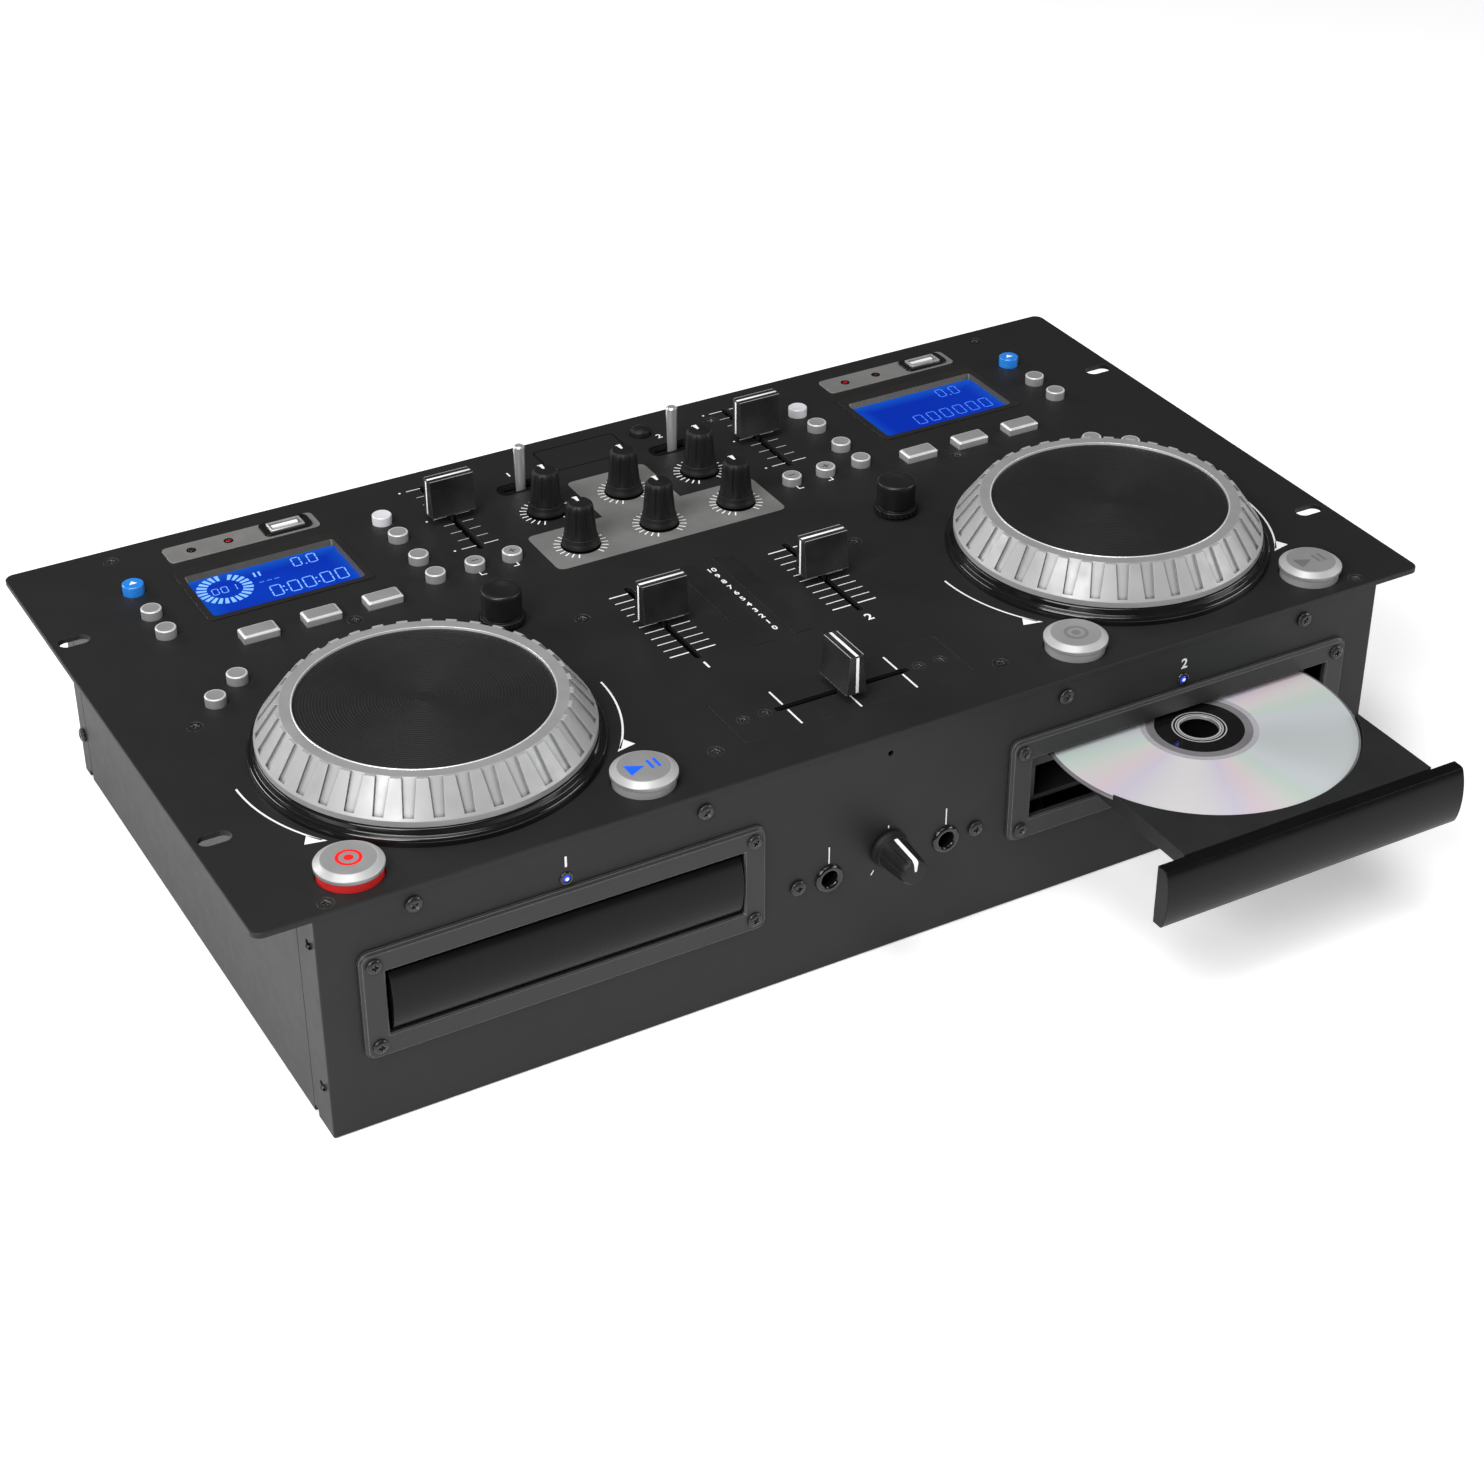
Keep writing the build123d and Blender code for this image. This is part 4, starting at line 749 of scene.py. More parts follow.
# The pointer's points, from the top's middle to the skirt: radius, height and half width.
pointer_track = [(0.9, 19.1, 0.4), (2.6, 19.16, 0.62), (4.5, 19.16, 0.85), (5.15, 18.75, 0.9),
                 (5.5, 17.8, 0.85), (6.75, 5.2, 0.7)]


def knob(node, place):
    """A tapered knob with soft flutes, a flared skirt and a white pointer over its top and down its side."""
    body = node.replace("_knob", "_control")
    steps = flute_count * 8
    turns = [2 * pi * i / steps for i in range(steps)]
    shape = Shape()
    rows = []
    for height in knob_heights:
        rise = height - knob_foot
        radius = knob_radius - knob_taper * rise / (knob_top - knob_foot)
        if height > 17:
            radius -= 0.9 * ((height - 17) / 1.95) ** 2.2
        flute = flute_depth * min(1.0, rise / 2.0) * max(0.35, 1 - max(0.0, height - 16.5) / 3.5)
        reaches = [radius - flute * max(0.0, cos(flute_count * turn)) ** 0.8 for turn in turns]
        rows.append([place @ Vector((reach * sin(turn), reach * cos(turn), height))
                     for reach, turn in zip(reaches, turns)])
    rows.append([place @ Vector((crown_radius * sin(turn), crown_radius * cos(turn), knob_top))
                 for turn in turns])
    shape.grid(rows)
    shape.lathe([(crown_radius, knob_top), (0, knob_top + 0.02)], steps, place)
    shape.lathe(knob_skirt, 64, place)
    shape.lathe([(0, 6.9), (5.0, 6.9), (5.0, 0.9)], 32, place)
    piece = shape.finish(f"{node}_grip", body, knob_rubber, smooth=38, slot="knob_rubber")
    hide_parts(node)

    pointer = Shape()
    outer = [[place @ Vector((side * half, r, z)) for r, z, half in pointer_track] for side in (-1, 1)]
    inner = [[place @ Vector((side * half, r - 0.5, z - 0.35)) for r, z, half in pointer_track]
             for side in (1, -1)]
    for rows in (outer, [outer[1], inner[0]], [inner[1], outer[0]]):
        pointer.grid(rows, wrap=False)
    pointer.finish(f"{node}_pointer", body, ink, smooth=40)


knob_nodes = ["mic_knob", "master_knob", "cue_level_knob", "low_knob", "mid_knob", "high_knob"]
for node in knob_nodes:
    knob(node, on_panel(node))
front_knob = node_centre("cue_mix_knob")
knob("cue_mix_knob", at(front_knob.x, front_face, front_knob.z, OUT_OF_FRONT))

encoder_profile = round_corners(
    [(0, 13.3), (3.2, 13.35), (6.4, 14.5), (7.6, 14.1), (7.8, 12.9), (7.7, 4.4), (7.1, 3.7), (7.1, 3.3),
     (8.5, 3.1), (8.5, 1.0), (5.0, 1.0)],
    [0, 1.2, 0.8, 0.7, 0.6, 0.3, 0.2, 0.2, 0.3, 0.2, 0], 4, closed=False)
encoder_rib = round_box(0.9, 1.0, 0.3, 2, (8.45, 0))
rib_count, rib_low, rib_high = 24, 1.2, 3.0
for deck in decks:
    node = f"encoder_{deck}"
    shape = Shape().lathe(encoder_profile, 72, on_panel(node))
    for i in range(rib_count):
        spin = Matrix.Rotation(radians(360 / rib_count * i), 4, "Z")
        shape.plate([encoder_rib], rib_low, rib_high, on_panel(node, spin))
    piece = shape.finish(f"{node}_knob", f"browse_{deck}", encoder_plastic, smooth=35, slot="encoder_plastic")
    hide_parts(node)

# ---------------------------------------------------------------- faders and levers

fader_half_length, fader_low, fader_high = 9.5, 3.5, 19.0
fader_foot_half, fader_taper, fader_hollow = 4.4, 1.6, 0.75
fader_steps = 12
stem_size, stem_foot = (1.2, 4.0), -9.0
# Half the white line's width, and the width of the painted highlight strips along the top rims.
line_half, rim_highlight_width = 0.6, 0.3
# The bulge of a cap's narrow ends: part of the half width, and how far out.
end_bulge = [(-1, 0.0), (-0.4, 0.35), (0.4, 0.35), (1, 0.0)]


def fader_half_width(x, z):
    rise = (z - fader_low) / (fader_high - fader_low)
    along = 1 - (x / fader_half_length) ** 4
    return fader_foot_half - fader_taper * rise - fader_hollow * sin(pi * rise) * (0.35 + 0.65 * along)


def fader_cap(node, body, turn):
    """A saddle-shaped cap: flanks hollowed in both directions, thin strips of painted highlight along its top
    rims, and a white line over it.
    """
    place = on_panel(node, Matrix.Rotation(radians(turn), 4, "Z"))
    shape = Shape()
    parts = [i / fader_steps for i in range(fader_steps + 1)]
    heights = [fader_low + (fader_high - fader_low) * part for part in parts]
    lengths = [-fader_half_length + 2 * fader_half_length * part for part in parts]
    for side in (-1, 1):
        rows = [[(x, side * fader_half_width(x, z), z) for x in lengths[::side]] for z in heights]
        shape.grid([[place @ Vector(point) for point in row] for row in rows], wrap=False)
    for end in (-1, 1):
        x = end * fader_half_length
        rows = [[(x + end * out, end * k * fader_half_width(x, z), z) for k, out in end_bulge]
                for z in heights]
        shape.grid([[place @ Vector(point) for point in row] for row in rows], wrap=False)
        tip = [point[:2] for point in rows[-1]]
        for height in (fader_low, fader_high):
            shape.cap([tip], height, place, down=height == fader_low)
    for height in (fader_low, fader_high):
        flat = rectangle(2 * fader_half_length, 2 * fader_half_width(0, height))
        shape.cap([flat], height, place, down=height == fader_low)
    shape.plate([rectangle(*stem_size)], stem_foot, fader_low, place)
    piece = shape.finish(f"{node}_cap", body, cap_gloss, smooth=22, bevel=0.22, slot="cap_gloss")
    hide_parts(node)

    line = Shape()
    reach, top = fader_half_length + 0.39, fader_high + 0.04
    track = [(-reach, fader_low + 0.4), (-reach, fader_high - 0.5), (-reach + 0.5, top), (reach - 0.5, top),
             (reach, fader_high - 0.5), (reach, fader_low + 0.4)]
    line.grid([[place @ Vector((x, y, z)) for x, z in track] for y in (-line_half, line_half)], wrap=False)
    line.finish(f"{node}_line", body, ink, smooth=50)

    # Painted highlight: pale strips along both long rims of the top.
    rim_glints = Shape()
    rim, reach = fader_half_width(0, fader_high), fader_half_length - 0.2
    for side in (-1, 1):
        rows = [[place @ Vector((x, side * y, fader_high + 0.03)) for x in (-reach, reach)]
                for y in (rim - rim_highlight_width, rim - 0.02)]
        rim_glints.grid(rows, wrap=False)
    rim_glints.finish(f"{node}_edges", body, grey_ink_and_highlight)


for deck in decks:
    fader_cap(f"pitch_fader_{deck}", f"pitch_{deck}", 0)
    fader_cap(f"channel_fader_{deck}", f"channel_{deck}", 0)
fader_cap("crossfader", "cross", 90)

toggle_pivot, ball_radius = -5.5, 2.4
toggle_ball = [(ball_radius * cos(radians(turn)), toggle_pivot + ball_radius * sin(radians(turn)))
               for turn in range(-56, 52, 12)]
toggle_slot, toggle_rim = (17.0, 6.0, 2.99, 8), (20.6, 8.8, 4.3, 8)
dust_shield, dust_low, dust_high = (20, 9, 1.0, 3), -3.2, -2.7
dust = Shape()
slot_rims = Shape()
for deck in decks:
    node = f"toggle_{deck}"
    low, high = [corner.z - panel_top for corner in node_box(node)]
    shaft = [(2.0, 0.2), (2.35, high - 1.0), (2.3, high - 0.6), (1.85, high - 0.15), (1.6, high), (0, high)]
    lever = Shape().lathe([(0, low), (1.3, low)] + toggle_ball + shaft, 48, on_panel(node))
    piece = lever.finish(f"{node}_lever", f"lever_{deck}", chrome, smooth=30, slot="toggle_chrome")
    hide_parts(node)
    dust.plate([round_box(*dust_shield), circle(2.7, 24)], dust_low, dust_high, on_panel(node))
    slot_rims.plate([round_box(*toggle_rim), round_box(*toggle_slot)], 0.01, 0.12, on_panel(node))
dust.finish("toggle_dust_shields", "console", encoder_plastic)
slot_rims.finish("toggle_slot_rims", "console", groove_and_shade_black)

# ---------------------------------------------------------------- displays

digit_segments = {"0": "abcdef", "1": "bc"}
digit_lean = 0.09


def seven_segment(shape, x, y, width, height, digit, place, stroke):
    """One digit of a segment display, its lower left corner at x, y, leaning a little to the right."""
    half = height / 2
    gap = stroke * 0.62
    runs = {
        "a": ((gap, height), (width - gap, height)), "b": ((width, height - gap), (width, half + gap)),
        "c": ((width, half - gap), (width, gap)), "d": ((gap, 0), (width - gap, 0)),
        "e": ((0, gap), (0, half - gap)), "f": ((0, half + gap), (0, height - gap)),
    }
    for name in digit_segments[digit]:
        points = [(x + px + digit_lean * py, y + py) for px, py in runs[name]]
        shape.line(points, stroke, 0, place)


# The blue screen lies in the foot of a sloping mouth. Both are a little off the frame's middle.
lcd_width, lcd_length, lcd_drop, lcd_corner = 61.0, 31.3, 1.6, 1.2
lcd_shift = (-0.2, -1.85)
mouth_width, mouth_length, mouth_shift, mouth_corner = 62.2, 33.6, (-0.2, -1.6), 2.0
frame_corner = 2.4
window_boxes = solid_boxes("display_windows")
display_boxes = [box for box in window_boxes if box[1].x - box[0].x > 30]
meter_boxes = [box for box in window_boxes if box[1].x - box[0].x < 30]
lcd_middle = (window_boxes[-1][0] + window_boxes[-1][1]) / 2


def lcd_surface():
    """Blue backlight, paler towards the top and the two ends."""
    material, tree, surface = shader("lcd_blue")
    surface.inputs["Base Color"].default_value = (0.0, 0.01, 0.1, 1.0)
    surface.inputs["Roughness"].default_value = 0.3
    surface.inputs["Specular IOR Level"].default_value = 0.2
    cloud = band(tree, noise(tree, 18.0, 1.0), 0.35, 0.65, 0.0, 1.0)
    backlight = mixed(tree, cloud, (0.0, 0.014, 0.3, 1.0), (0.001, 0.03, 0.38, 1.0))
    place = add_node(tree, "ShaderNodeTexCoord").outputs["Object"]
    parts = add_node(tree, "ShaderNodeSeparateXYZ", {"Vector": place})
    offset = maths(tree, "SUBTRACT", maths(tree, "ABSOLUTE", parts.outputs["X"]), lcd_middle.x * METRE)
    far = maths(tree, "ABSOLUTE", offset)
    ends = band(tree, far, (lcd_width / 2 - 7) * METRE, lcd_width / 2 * METRE, 0.0, 0.7)
    rear = lcd_middle.y + lcd_shift[1] + lcd_length / 2
    top = band(tree, parts.outputs["Y"], (rear - 7) * METRE, rear * METRE, 0.0, 1.0)
    backlight = mixed(tree, maths(tree, "MAXIMUM", ends, top), backlight, (0.003, 0.075, 0.45, 1.0))
    tree.links.new(backlight, surface.inputs["Emission Color"])
    surface.inputs["Emission Strength"].default_value = 1.0
    return material


# Rows of digits: the digits, each one's x, and the row's y, digit width, digit height and stroke.
busy_rows = [
    ("001", (-24.6, -20.9, -17.3), -0.4, 2.4, 4.4, 0.36),
    ("00000", (-4.4, 2.9, 9.0, 16.3, 22.5), -12.2, 4.1, 7.8, 0.5),
    ("00", (10.8, 17.3), 5.3, 3.3, 6.5, 0.5),
]
idle_rows = [
    ("00", (10.0, 16.6), 4.9, 3.3, 6.5, 0.45),
    ("000000", [-11.4 + 6.6 * i for i in range(6)], -12.4, 4.0, 7.6, 0.45),
]
time_dots = [(x, y) for x in (1.3, 14.8) for y in (-10.0, -6.8)]
# The dial's wedges, of which one is dark.
dial_centre, dial_inner, dial_outer = (-19.2, 2.2), 7.0, 11.0
dial_count, dial_start, dial_wedge, dark_wedge = 24, -5.0, 9.0, 5
pause_bars = [[(x, 5.2), (x + 0.3, 8.6)] for x in (-5.5, -3.5)]
word_dashes = [[(-5.8 + 3.1 * i, 0.4), (-3.8 + 3.1 * i, 0.4)] for i in range(3)]


def digit_rows(shape, rows, screen):
    for digits, places, y, width, height, stroke in rows:
        for digit, x in zip(digits, places):
            seven_segment(shape, x, y, width, height, digit, screen, stroke)


def busy_screen(bright, dim, screen):
    """Deck A's screen: a dial with the track number in it, the time, the pitch and the pause bars."""
    for i in range(dial_count):
        if i == dark_wedge:
            continue
        turn = 360 / dial_count * i + dial_start
        wedge = arc_points(dial_inner, turn, turn + dial_wedge, 2, dial_centre)
        wedge += arc_points(dial_outer, turn + dial_wedge, turn, 2, dial_centre)
        bright.cap([wedge], 0, screen)
    digit_rows(bright, busy_rows, screen)
    for bar in pause_bars:
        bright.line(bar, 0.8, 0, screen)
    for dash in word_dashes:
        dim.line(dash, 0.5, 0, screen)
    for dot in time_dots:
        bright.cap([rectangle(0.8, 0.8, dot)], 0, screen)
    bright.cap([rectangle(0.7, 0.7, (15.8, 5.4))], 0, screen)


windows = Shape()
slopes = Shape()
lcds = Shape()
segments = Shape()
dim_segments = Shape()
meters = Shape()
for number, (low, high) in enumerate(display_boxes):
    centre = (low + high) / 2
    place = at(centre.x, centre.y, panel_top)
    rise = high.z - panel_top
    outer = round_box(high.x - low.x, high.y - low.y, frame_corner, 5)
    mouth = round_box(mouth_width, mouth_length, mouth_corner, 5, mouth_shift)
    glass = round_box(lcd_width, lcd_length, lcd_corner, 5, lcd_shift)
    windows.plate([outer, mouth], 0.01, rise, place)
    slopes.grid([[place @ Vector((x, y, rise)) for x, y in mouth],
                 [place @ Vector((x, y, -lcd_drop)) for x, y in glass]])
    lcds.cap([glass], -lcd_drop, place)
    screen = at(centre.x, centre.y, panel_top - lcd_drop + 0.06)
    if number == 0:
        busy_screen(segments, dim_segments, screen)
    else:
        digit_rows(dim_segments, idle_rows, screen)
        dim_segments.cap([rectangle(0.7, 0.7, (15.0, 5.0))], 0, screen)
for low, high in meter_boxes:
    centre = (low + high) / 2
    place = at(centre.x, centre.y, panel_top)
    meters.plate([round_box(high.x - low.x, high.y - low.y, 0.8, 3)], -3.9, 0.3, place)
window_piece = windows.finish("display_frames", "console", window_frame, bevel=0.18, slot="window")
slopes.finish("display_slopes", "console", window_slope)
lcds.finish("display_glass", "console", lcd_surface())
segments.finish("display_digits", "console", digit_light)
dim_segments.finish("display_digits_dim", "console", digit_dim)
meters.finish("level_meters", "console", meter_smoke, bevel=0.08)
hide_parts("display_windows")

# ---------------------------------------------------------------- USB plates

plate_rise, plate_corner = 0.5, 2.6
usb_middle = (18.5, 0)
shell_top, shell_foot = 2.0, -10.0
usb_cutout, surround_cutout = (14.2, 7.0), (14.1, 6.9)
surround_size, surround_top = (20.4, 10.6, 2.8, 6), 1.3
tongue_size, tongue_top, tongue_shift = (11.0, 1.9), 1.3, (0, 0.9)
contact_size, contact_top = (1.0, 0.1), -0.6
lamp_radius, lamp_hole = 1.25, 1.35
usb_shell = round_box(13.6, 6.4, 0.5, 2)
usb_mouth = round_box(12.5, 5.1, 0.4, 2)
# The shell's lip flares out: scale across, scale along, height.
shell_flare = ((1.0, 1.0, 2.0), (1.05, 1.1, 1.75), (1.05, 1.1, 1.35))
# Of the two lamps beside each port, the right one is lit on the left deck and the left one on the right.
lit_lamp = {False: 1, True: 0}

usb_plate = Shape()
usb_socket = Shape()
usb_surround = Shape()
lamp_rings = Shape()
usb_lights = {True: Shape(), False: Shape()}
usb_tongues = Shape()
usb_wells = Shape()
plates = sorted(solid_boxes("usb_plates"), key=lambda box: box[0].x - box[1].x)[:2]
lamp_boxes = solid_boxes("indicator_leds")
for low, high in plates:
    centre = (low + high) / 2
    place = at(centre.x, centre.y, panel_top)
    inside = [(a + b) / 2 for a, b in lamp_boxes if b.y > 0 and a.x > low.x and b.x < high.x]
    lamps = [(lamp.x - centre.x, lamp.y - centre.y) for lamp in inside]
    outline = round_box(high.x - low.x, high.y - low.y, plate_corner, 6)
    holes = [rectangle(*usb_cutout, usb_middle)] + [circle(lamp_hole, 24, lamp) for lamp in lamps]
    usb_plate.plate([outline] + holes, 0.02, plate_rise, place)
    for number, lamp in enumerate(lamps):
        lamp_place = at(centre.x + lamp[0], centre.y + lamp[1], panel_top)
        profile = dome(lamp_radius, 0.2, 0.5, 15) + [(lamp_radius, 0.02)]
        usb_lights[number == lit_lamp[centre.x > 0]].lathe(profile, 24, lamp_place)
        lamp_rings.plate([circle(1.95, 28), circle(1.2, 24)], plate_rise, plate_rise + 0.08, lamp_place)
    socket = at(centre.x + usb_middle[0], centre.y, panel_top)
    usb_surround.plate([round_box(*surround_size), rectangle(*surround_cutout)], plate_rise, surround_top,
                       socket)
    usb_socket.plate([usb_shell, usb_mouth], shell_foot, shell_top, socket)
    usb_socket.cap([usb_shell], shell_foot, socket)
    usb_socket.grid([[socket @ Vector((x * kx, y * ky, z)) for x, y in usb_shell]
                     for kx, ky, z in shell_flare])
    usb_tongues.plate([rectangle(*tongue_size, tongue_shift)], shell_foot, tongue_top, socket)
    usb_wells.cap([usb_mouth, rectangle(11.05, 1.95, tongue_shift)], -0.4, socket)
    for i in range(4):
        usb_socket.plate([rectangle(*contact_size, (-3.6 + 2.4 * i, -0.12))], -9.0, contact_top, socket)
usb_piece = usb_plate.finish("usb_plates_silver", "console", plate_silver, bevel=0.15, slot="usb_metal")
usb_socket.finish("usb_shells", "console", bright_metal, bevel=0.06)
usb_tongues.finish("usb_tongues", "console", tongue_white, bevel=0.08)
usb_wells.finish("usb_wells", "console", groove_and_shade_black)
usb_surround.finish("usb_surrounds", "console", gloss_black, bevel=0.25)
lamp_rings.finish("lamp_rings", "console", groove_and_shade_black)
usb_lights[True].finish("usb_lamp_red", "console", red_lamp)
usb_lights[False].finish("usb_lamp_dark", "console", dark_lamp)
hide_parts("usb_plates")

front_lamp_radius = 1.45
front_lamp_profile = dome(front_lamp_radius, 0.0, 0.75, 15) + [(front_lamp_radius, -4.0)]
# A raised ring round each front lamp, in gloss black that paints the shade of the lamp's recess.
front_lamp_shade_ring = round_corners([(1.5, 0.02), (1.5, 0.55), (2.5, 0.55), (2.7, 0.02)], [0, 0.15, 0.25, 0], 3,
                                closed=False)
front_lights = Shape()
lamp_shade_rings = Shape()
light_cores = Shape()
for low, high in [box for box in lamp_boxes if box[1].y <= 0]:
    place = at((low.x + high.x) / 2, front_face, (low.z + high.z) / 2, OUT_OF_FRONT)
    front_lights.lathe(front_lamp_profile, 28, place)
    light_cores.lathe([(0, 0.84), (0.45, 0.78), (0.7, 0.72)], 20, place)
    lamp_shade_rings.lathe(front_lamp_shade_ring, 36, place)
light_piece = front_lights.finish("front_lamps", "console", blue_light, slot="led")
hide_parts("indicator_leds")
light_cores.finish("front_lamp_cores", "console", lamp_core)
lamp_shade_rings.finish("front_lamp_shade_rings", "console", gloss_black, smooth=40)

# ---------------------------------------------------------------- sockets on the front and rear

jack_bush = round_corners([(3.2, -26), (3.2, 0.7), (4.0, 1.4), (5.0, 1.4), (5.7, 0.7), (5.7, -0.02)],
                          [0, 0.4, 0.3, 0.3, 0.4, 0], 3, closed=False)
jack_body = [(5.7, -0.02), (4.4, -0.02), (4.4, -1.6), (8.0, -1.6), (8.0, -28.0), (0, -28.0)]
jack_shape = Shape()
for low, high in solid_boxes("front_jacks"):
    place = at((low.x + high.x) / 2, front_face, (low.z + high.z) / 2, OUT_OF_FRONT)
    jack_shape.lathe(jack_bush, 48, place)
    jack_shape.lathe([(0, -25.5), (3.2, -25.5)], 32, place)
    jack_shape.lathe(jack_body, 32, place)
jack_piece = jack_shape.finish("front_jack_bushes", "console", gloss_black, smooth=35, slot="jack_plastic")
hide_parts("front_jacks")

# The rear sockets: the CAD's own faces without its plain barrels, and metal barrels with dark centres.
phono_columns = [-96.0 + 18.0 * i for i in range(6)]
phono_rows = (44.0, 62.0)
flange_rise = 1.4
inlet_x, inlet_z = 150.0, 40.0
inlet_pins = ((-6.0, 1.5), (0.0, -1.5), (6.0, 1.5))
pin_size, pin_foot, pin_top = (2.2, 4.6), -14.9, -3.9
tip = node_box("rear_sockets")[1].y - rear_face
barrel_profile = [(4.1, flange_rise - 0.1), (4.1, tip - 0.3), (3.85, tip), (3.3, tip), (3.3, tip - 5.0)]
centre_profile = [(3.3, tip - 5.0), (1.9, tip - 5.0), (1.9, tip - 1.2), (1.0, tip - 1.2), (1.0, tip - 4.0),
                  (0, tip - 4.0)]
socket_plastic = Shape()
socket_mesh = socket_plastic.mesh
socket_mesh.from_mesh(nodes["rear_sockets"].data)
bmesh.ops.scale(socket_mesh, vec=(1 / METRE,) * 3, verts=socket_mesh.verts)
barrel_faces = [f for f in socket_mesh.faces if f.calc_center_median().y > rear_face + flange_rise + 0.1]
bmesh.ops.delete(socket_mesh, geom=barrel_faces, context="FACES")
phono_metal = Shape()
for x in phono_columns:
    for z in phono_rows:
        place = at(x, rear_face, z, OUT_OF_REAR)
        phono_metal.lathe(barrel_profile, 40, place)
        socket_plastic.lathe(centre_profile, 32, place)
for across, up in inlet_pins:
    place = at(inlet_x + across, rear_face, inlet_z + up, OUT_OF_REAR)
    phono_metal.plate([rectangle(*pin_size)], pin_foot, pin_top, place)
socket_piece = socket_plastic.finish("rear_socket_bodies", "console", encoder_plastic, smooth=40,
                                     slot="socket_plastic")
phono_metal.finish("phono_barrels", "console", bright_metal, smooth=40)
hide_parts("rear_sockets")

# ---------------------------------------------------------------- trays and disc

disc_low, disc_high = node_box("disc")
disc_middle = node_centre("disc")
disc_outer = (disc_high.x - disc_low.x) / 2
disc_bore, disc_edge = 7.5, 59.0
disc_thick = disc_high.z - disc_low.z
# Colours of the painted rainbow sheen round the disc: where on the ramp, and red, green and blue.
disc_sheen_stops = [
    (0.0, (0.52, 0.56, 0.56)), (0.22, (0.60, 0.63, 0.66)), (0.4, (0.56, 0.66, 0.60)),
    (0.55, (0.66, 0.66, 0.64)), (0.72, (0.72, 0.62, 0.66)), (0.86, (0.66, 0.62, 0.72)),
    (1.0, (0.74, 0.72, 0.73)),
]


def disc_surface():
    """Silver with pale pink, green and blue fans painted round the hub: a painted rainbow sheen, standing in
    for the light a pressed disc splits.
    """
    material, tree, surface = shader("disc_rainbow_sheen")
    place = add_node(tree, "ShaderNodeTexCoord").outputs["Object"]
    middle = tuple(disc_middle * METRE)
    offset = add_node(tree, "ShaderNodeVectorMath", {0: place, 1: middle}, operation="SUBTRACT").outputs[0]
    parts = add_node(tree, "ShaderNodeSeparateXYZ", {"Vector": offset})
    turn = maths(tree, "ARCTAN2", parts.outputs["Y"], parts.outputs["X"])
    fan = maths(tree, "SINE", maths(tree, "MULTIPLY", turn, 2.0))
    ramp = add_node(tree, "ShaderNodeValToRGB", {"Fac": band(tree, fan, -1, 1, 0, 1)})
    elements = ramp.color_ramp.elements
    for position, _ in disc_sheen_stops[1:-1]:
        elements.new(position)
    for element, (position, color) in zip(elements, disc_sheen_stops):
        element.position = position
        element.color = (*color, 1.0)
    tree.links.new(ramp.outputs["Color"], surface.inputs["Base Color"])
    surface.inputs["Metallic"].default_value = 0.25
    surface.inputs["Roughness"].default_value = 0.3
    surface.inputs["Anisotropic"].default_value = 0.5
    distance = add_node(tree, "ShaderNodeVectorMath", {0: offset}, operation="LENGTH").outputs["Value"]
    tracks = maths(tree, "SINE", maths(tree, "MULTIPLY", distance, 9000.0))
    relief = add_node(tree, "ShaderNodeBump", {"Height": tracks, "Strength": 0.06, "Distance": 0.01 * METRE})
    tree.links.new(relief.outputs["Normal"], surface.inputs["Normal"])
    return material


# The hub's rings on the disc's top: inner radius and look. The last row is where the silver starts.
hub_steps = [(7.6, 2), (8.3, 3), (8.6, 2), (9.1, 3), (9.9, 2), (10.4, 3), (17.0, 1), (20.2, 4), (22.4, 0)]
disc_looks = [disc_surface(), disc_hub, disc_ring, disc_dark, disc_pale]
profile = [(disc_bore, disc_thick * 0.1), (disc_bore, disc_thick * 0.9)]
profile += [(radius, disc_thick) for radius, _ in hub_steps]
profile += [(disc_edge, disc_thick), (disc_edge + 0.3, disc_thick), (disc_outer - 0.2, disc_thick),
            (disc_outer, disc_thick * 0.8), (disc_outer, disc_thick * 0.2), (disc_outer - 0.2, 0),
            (disc_bore, 0)]
looks = [1, 1] + [look for _, look in hub_steps] + [1, 1, 1, 1, 1, 0]
disc_shape = Shape().lathe(profile, 180, at(disc_middle.x, disc_middle.y, disc_low.z), looks=looks)
disc_piece = disc_shape.finish("disc_silver", "tray_unit_b", disc_looks, smooth=30, slot="disc")
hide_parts("disc")

# A tray's front bulges outwards, and is hollow behind except at its two ends.
front_bulge, end_thick, hollow_depth, hollow_foot, hollow_top = 2.0, 1.5, 2.0, 2.0, 7.0
for deck in decks:
    low, high = node_box(f"tray_cover_{deck}")
    top, bottom, back = high.z, low.z, high.y
    middle, rise = (top + bottom) / 2, (top - bottom) / 2
    edge = low.y + 3.0
    face = [(edge - front_bulge * cos(asin(t)) - (1 - t * t), middle + t * rise)
            for t in [i / 10 for i in range(9, -10, -1)]]
    solid = [(back, top), (edge + 0.6, top), (edge - 0.6, top - 0.35)] + face
    solid += [(edge - 0.6, bottom + 0.35), (edge + 0.6, bottom), (back, bottom)]
    hollow = solid + [(back, bottom + hollow_foot), (back - hollow_depth, bottom + hollow_foot),
                      (back - hollow_depth, top - hollow_top), (back, top - hollow_top)]
    plain = solid + [(back, bottom + hollow_foot)] * 2 + [(back, top - hollow_top)] * 2
    left, right = low.x, high.x
    sections = ((left, plain), (left + end_thick, plain), (left + end_thick, hollow),
                (right - end_thick, hollow), (right - end_thick, plain), (right, plain))
    shape = Shape()
    shape.grid([[Vector((x, y, z)) for y, z in section] for x, section in sections])
    shape.cap([solid], right, YZ_PLANE)
    shape.cap([solid], left, YZ_PLANE, down=True)
    piece = shape.finish(f"tray_front_{deck}", f"tray_unit_{deck}", cover_gloss, smooth=28, bevel=0.3,
                         slot="cover_gloss")
    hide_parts(f"tray_cover_{deck}")

# ---------------------------------------------------------------- printed marks on the panel

print_height = panel_top + 0.04
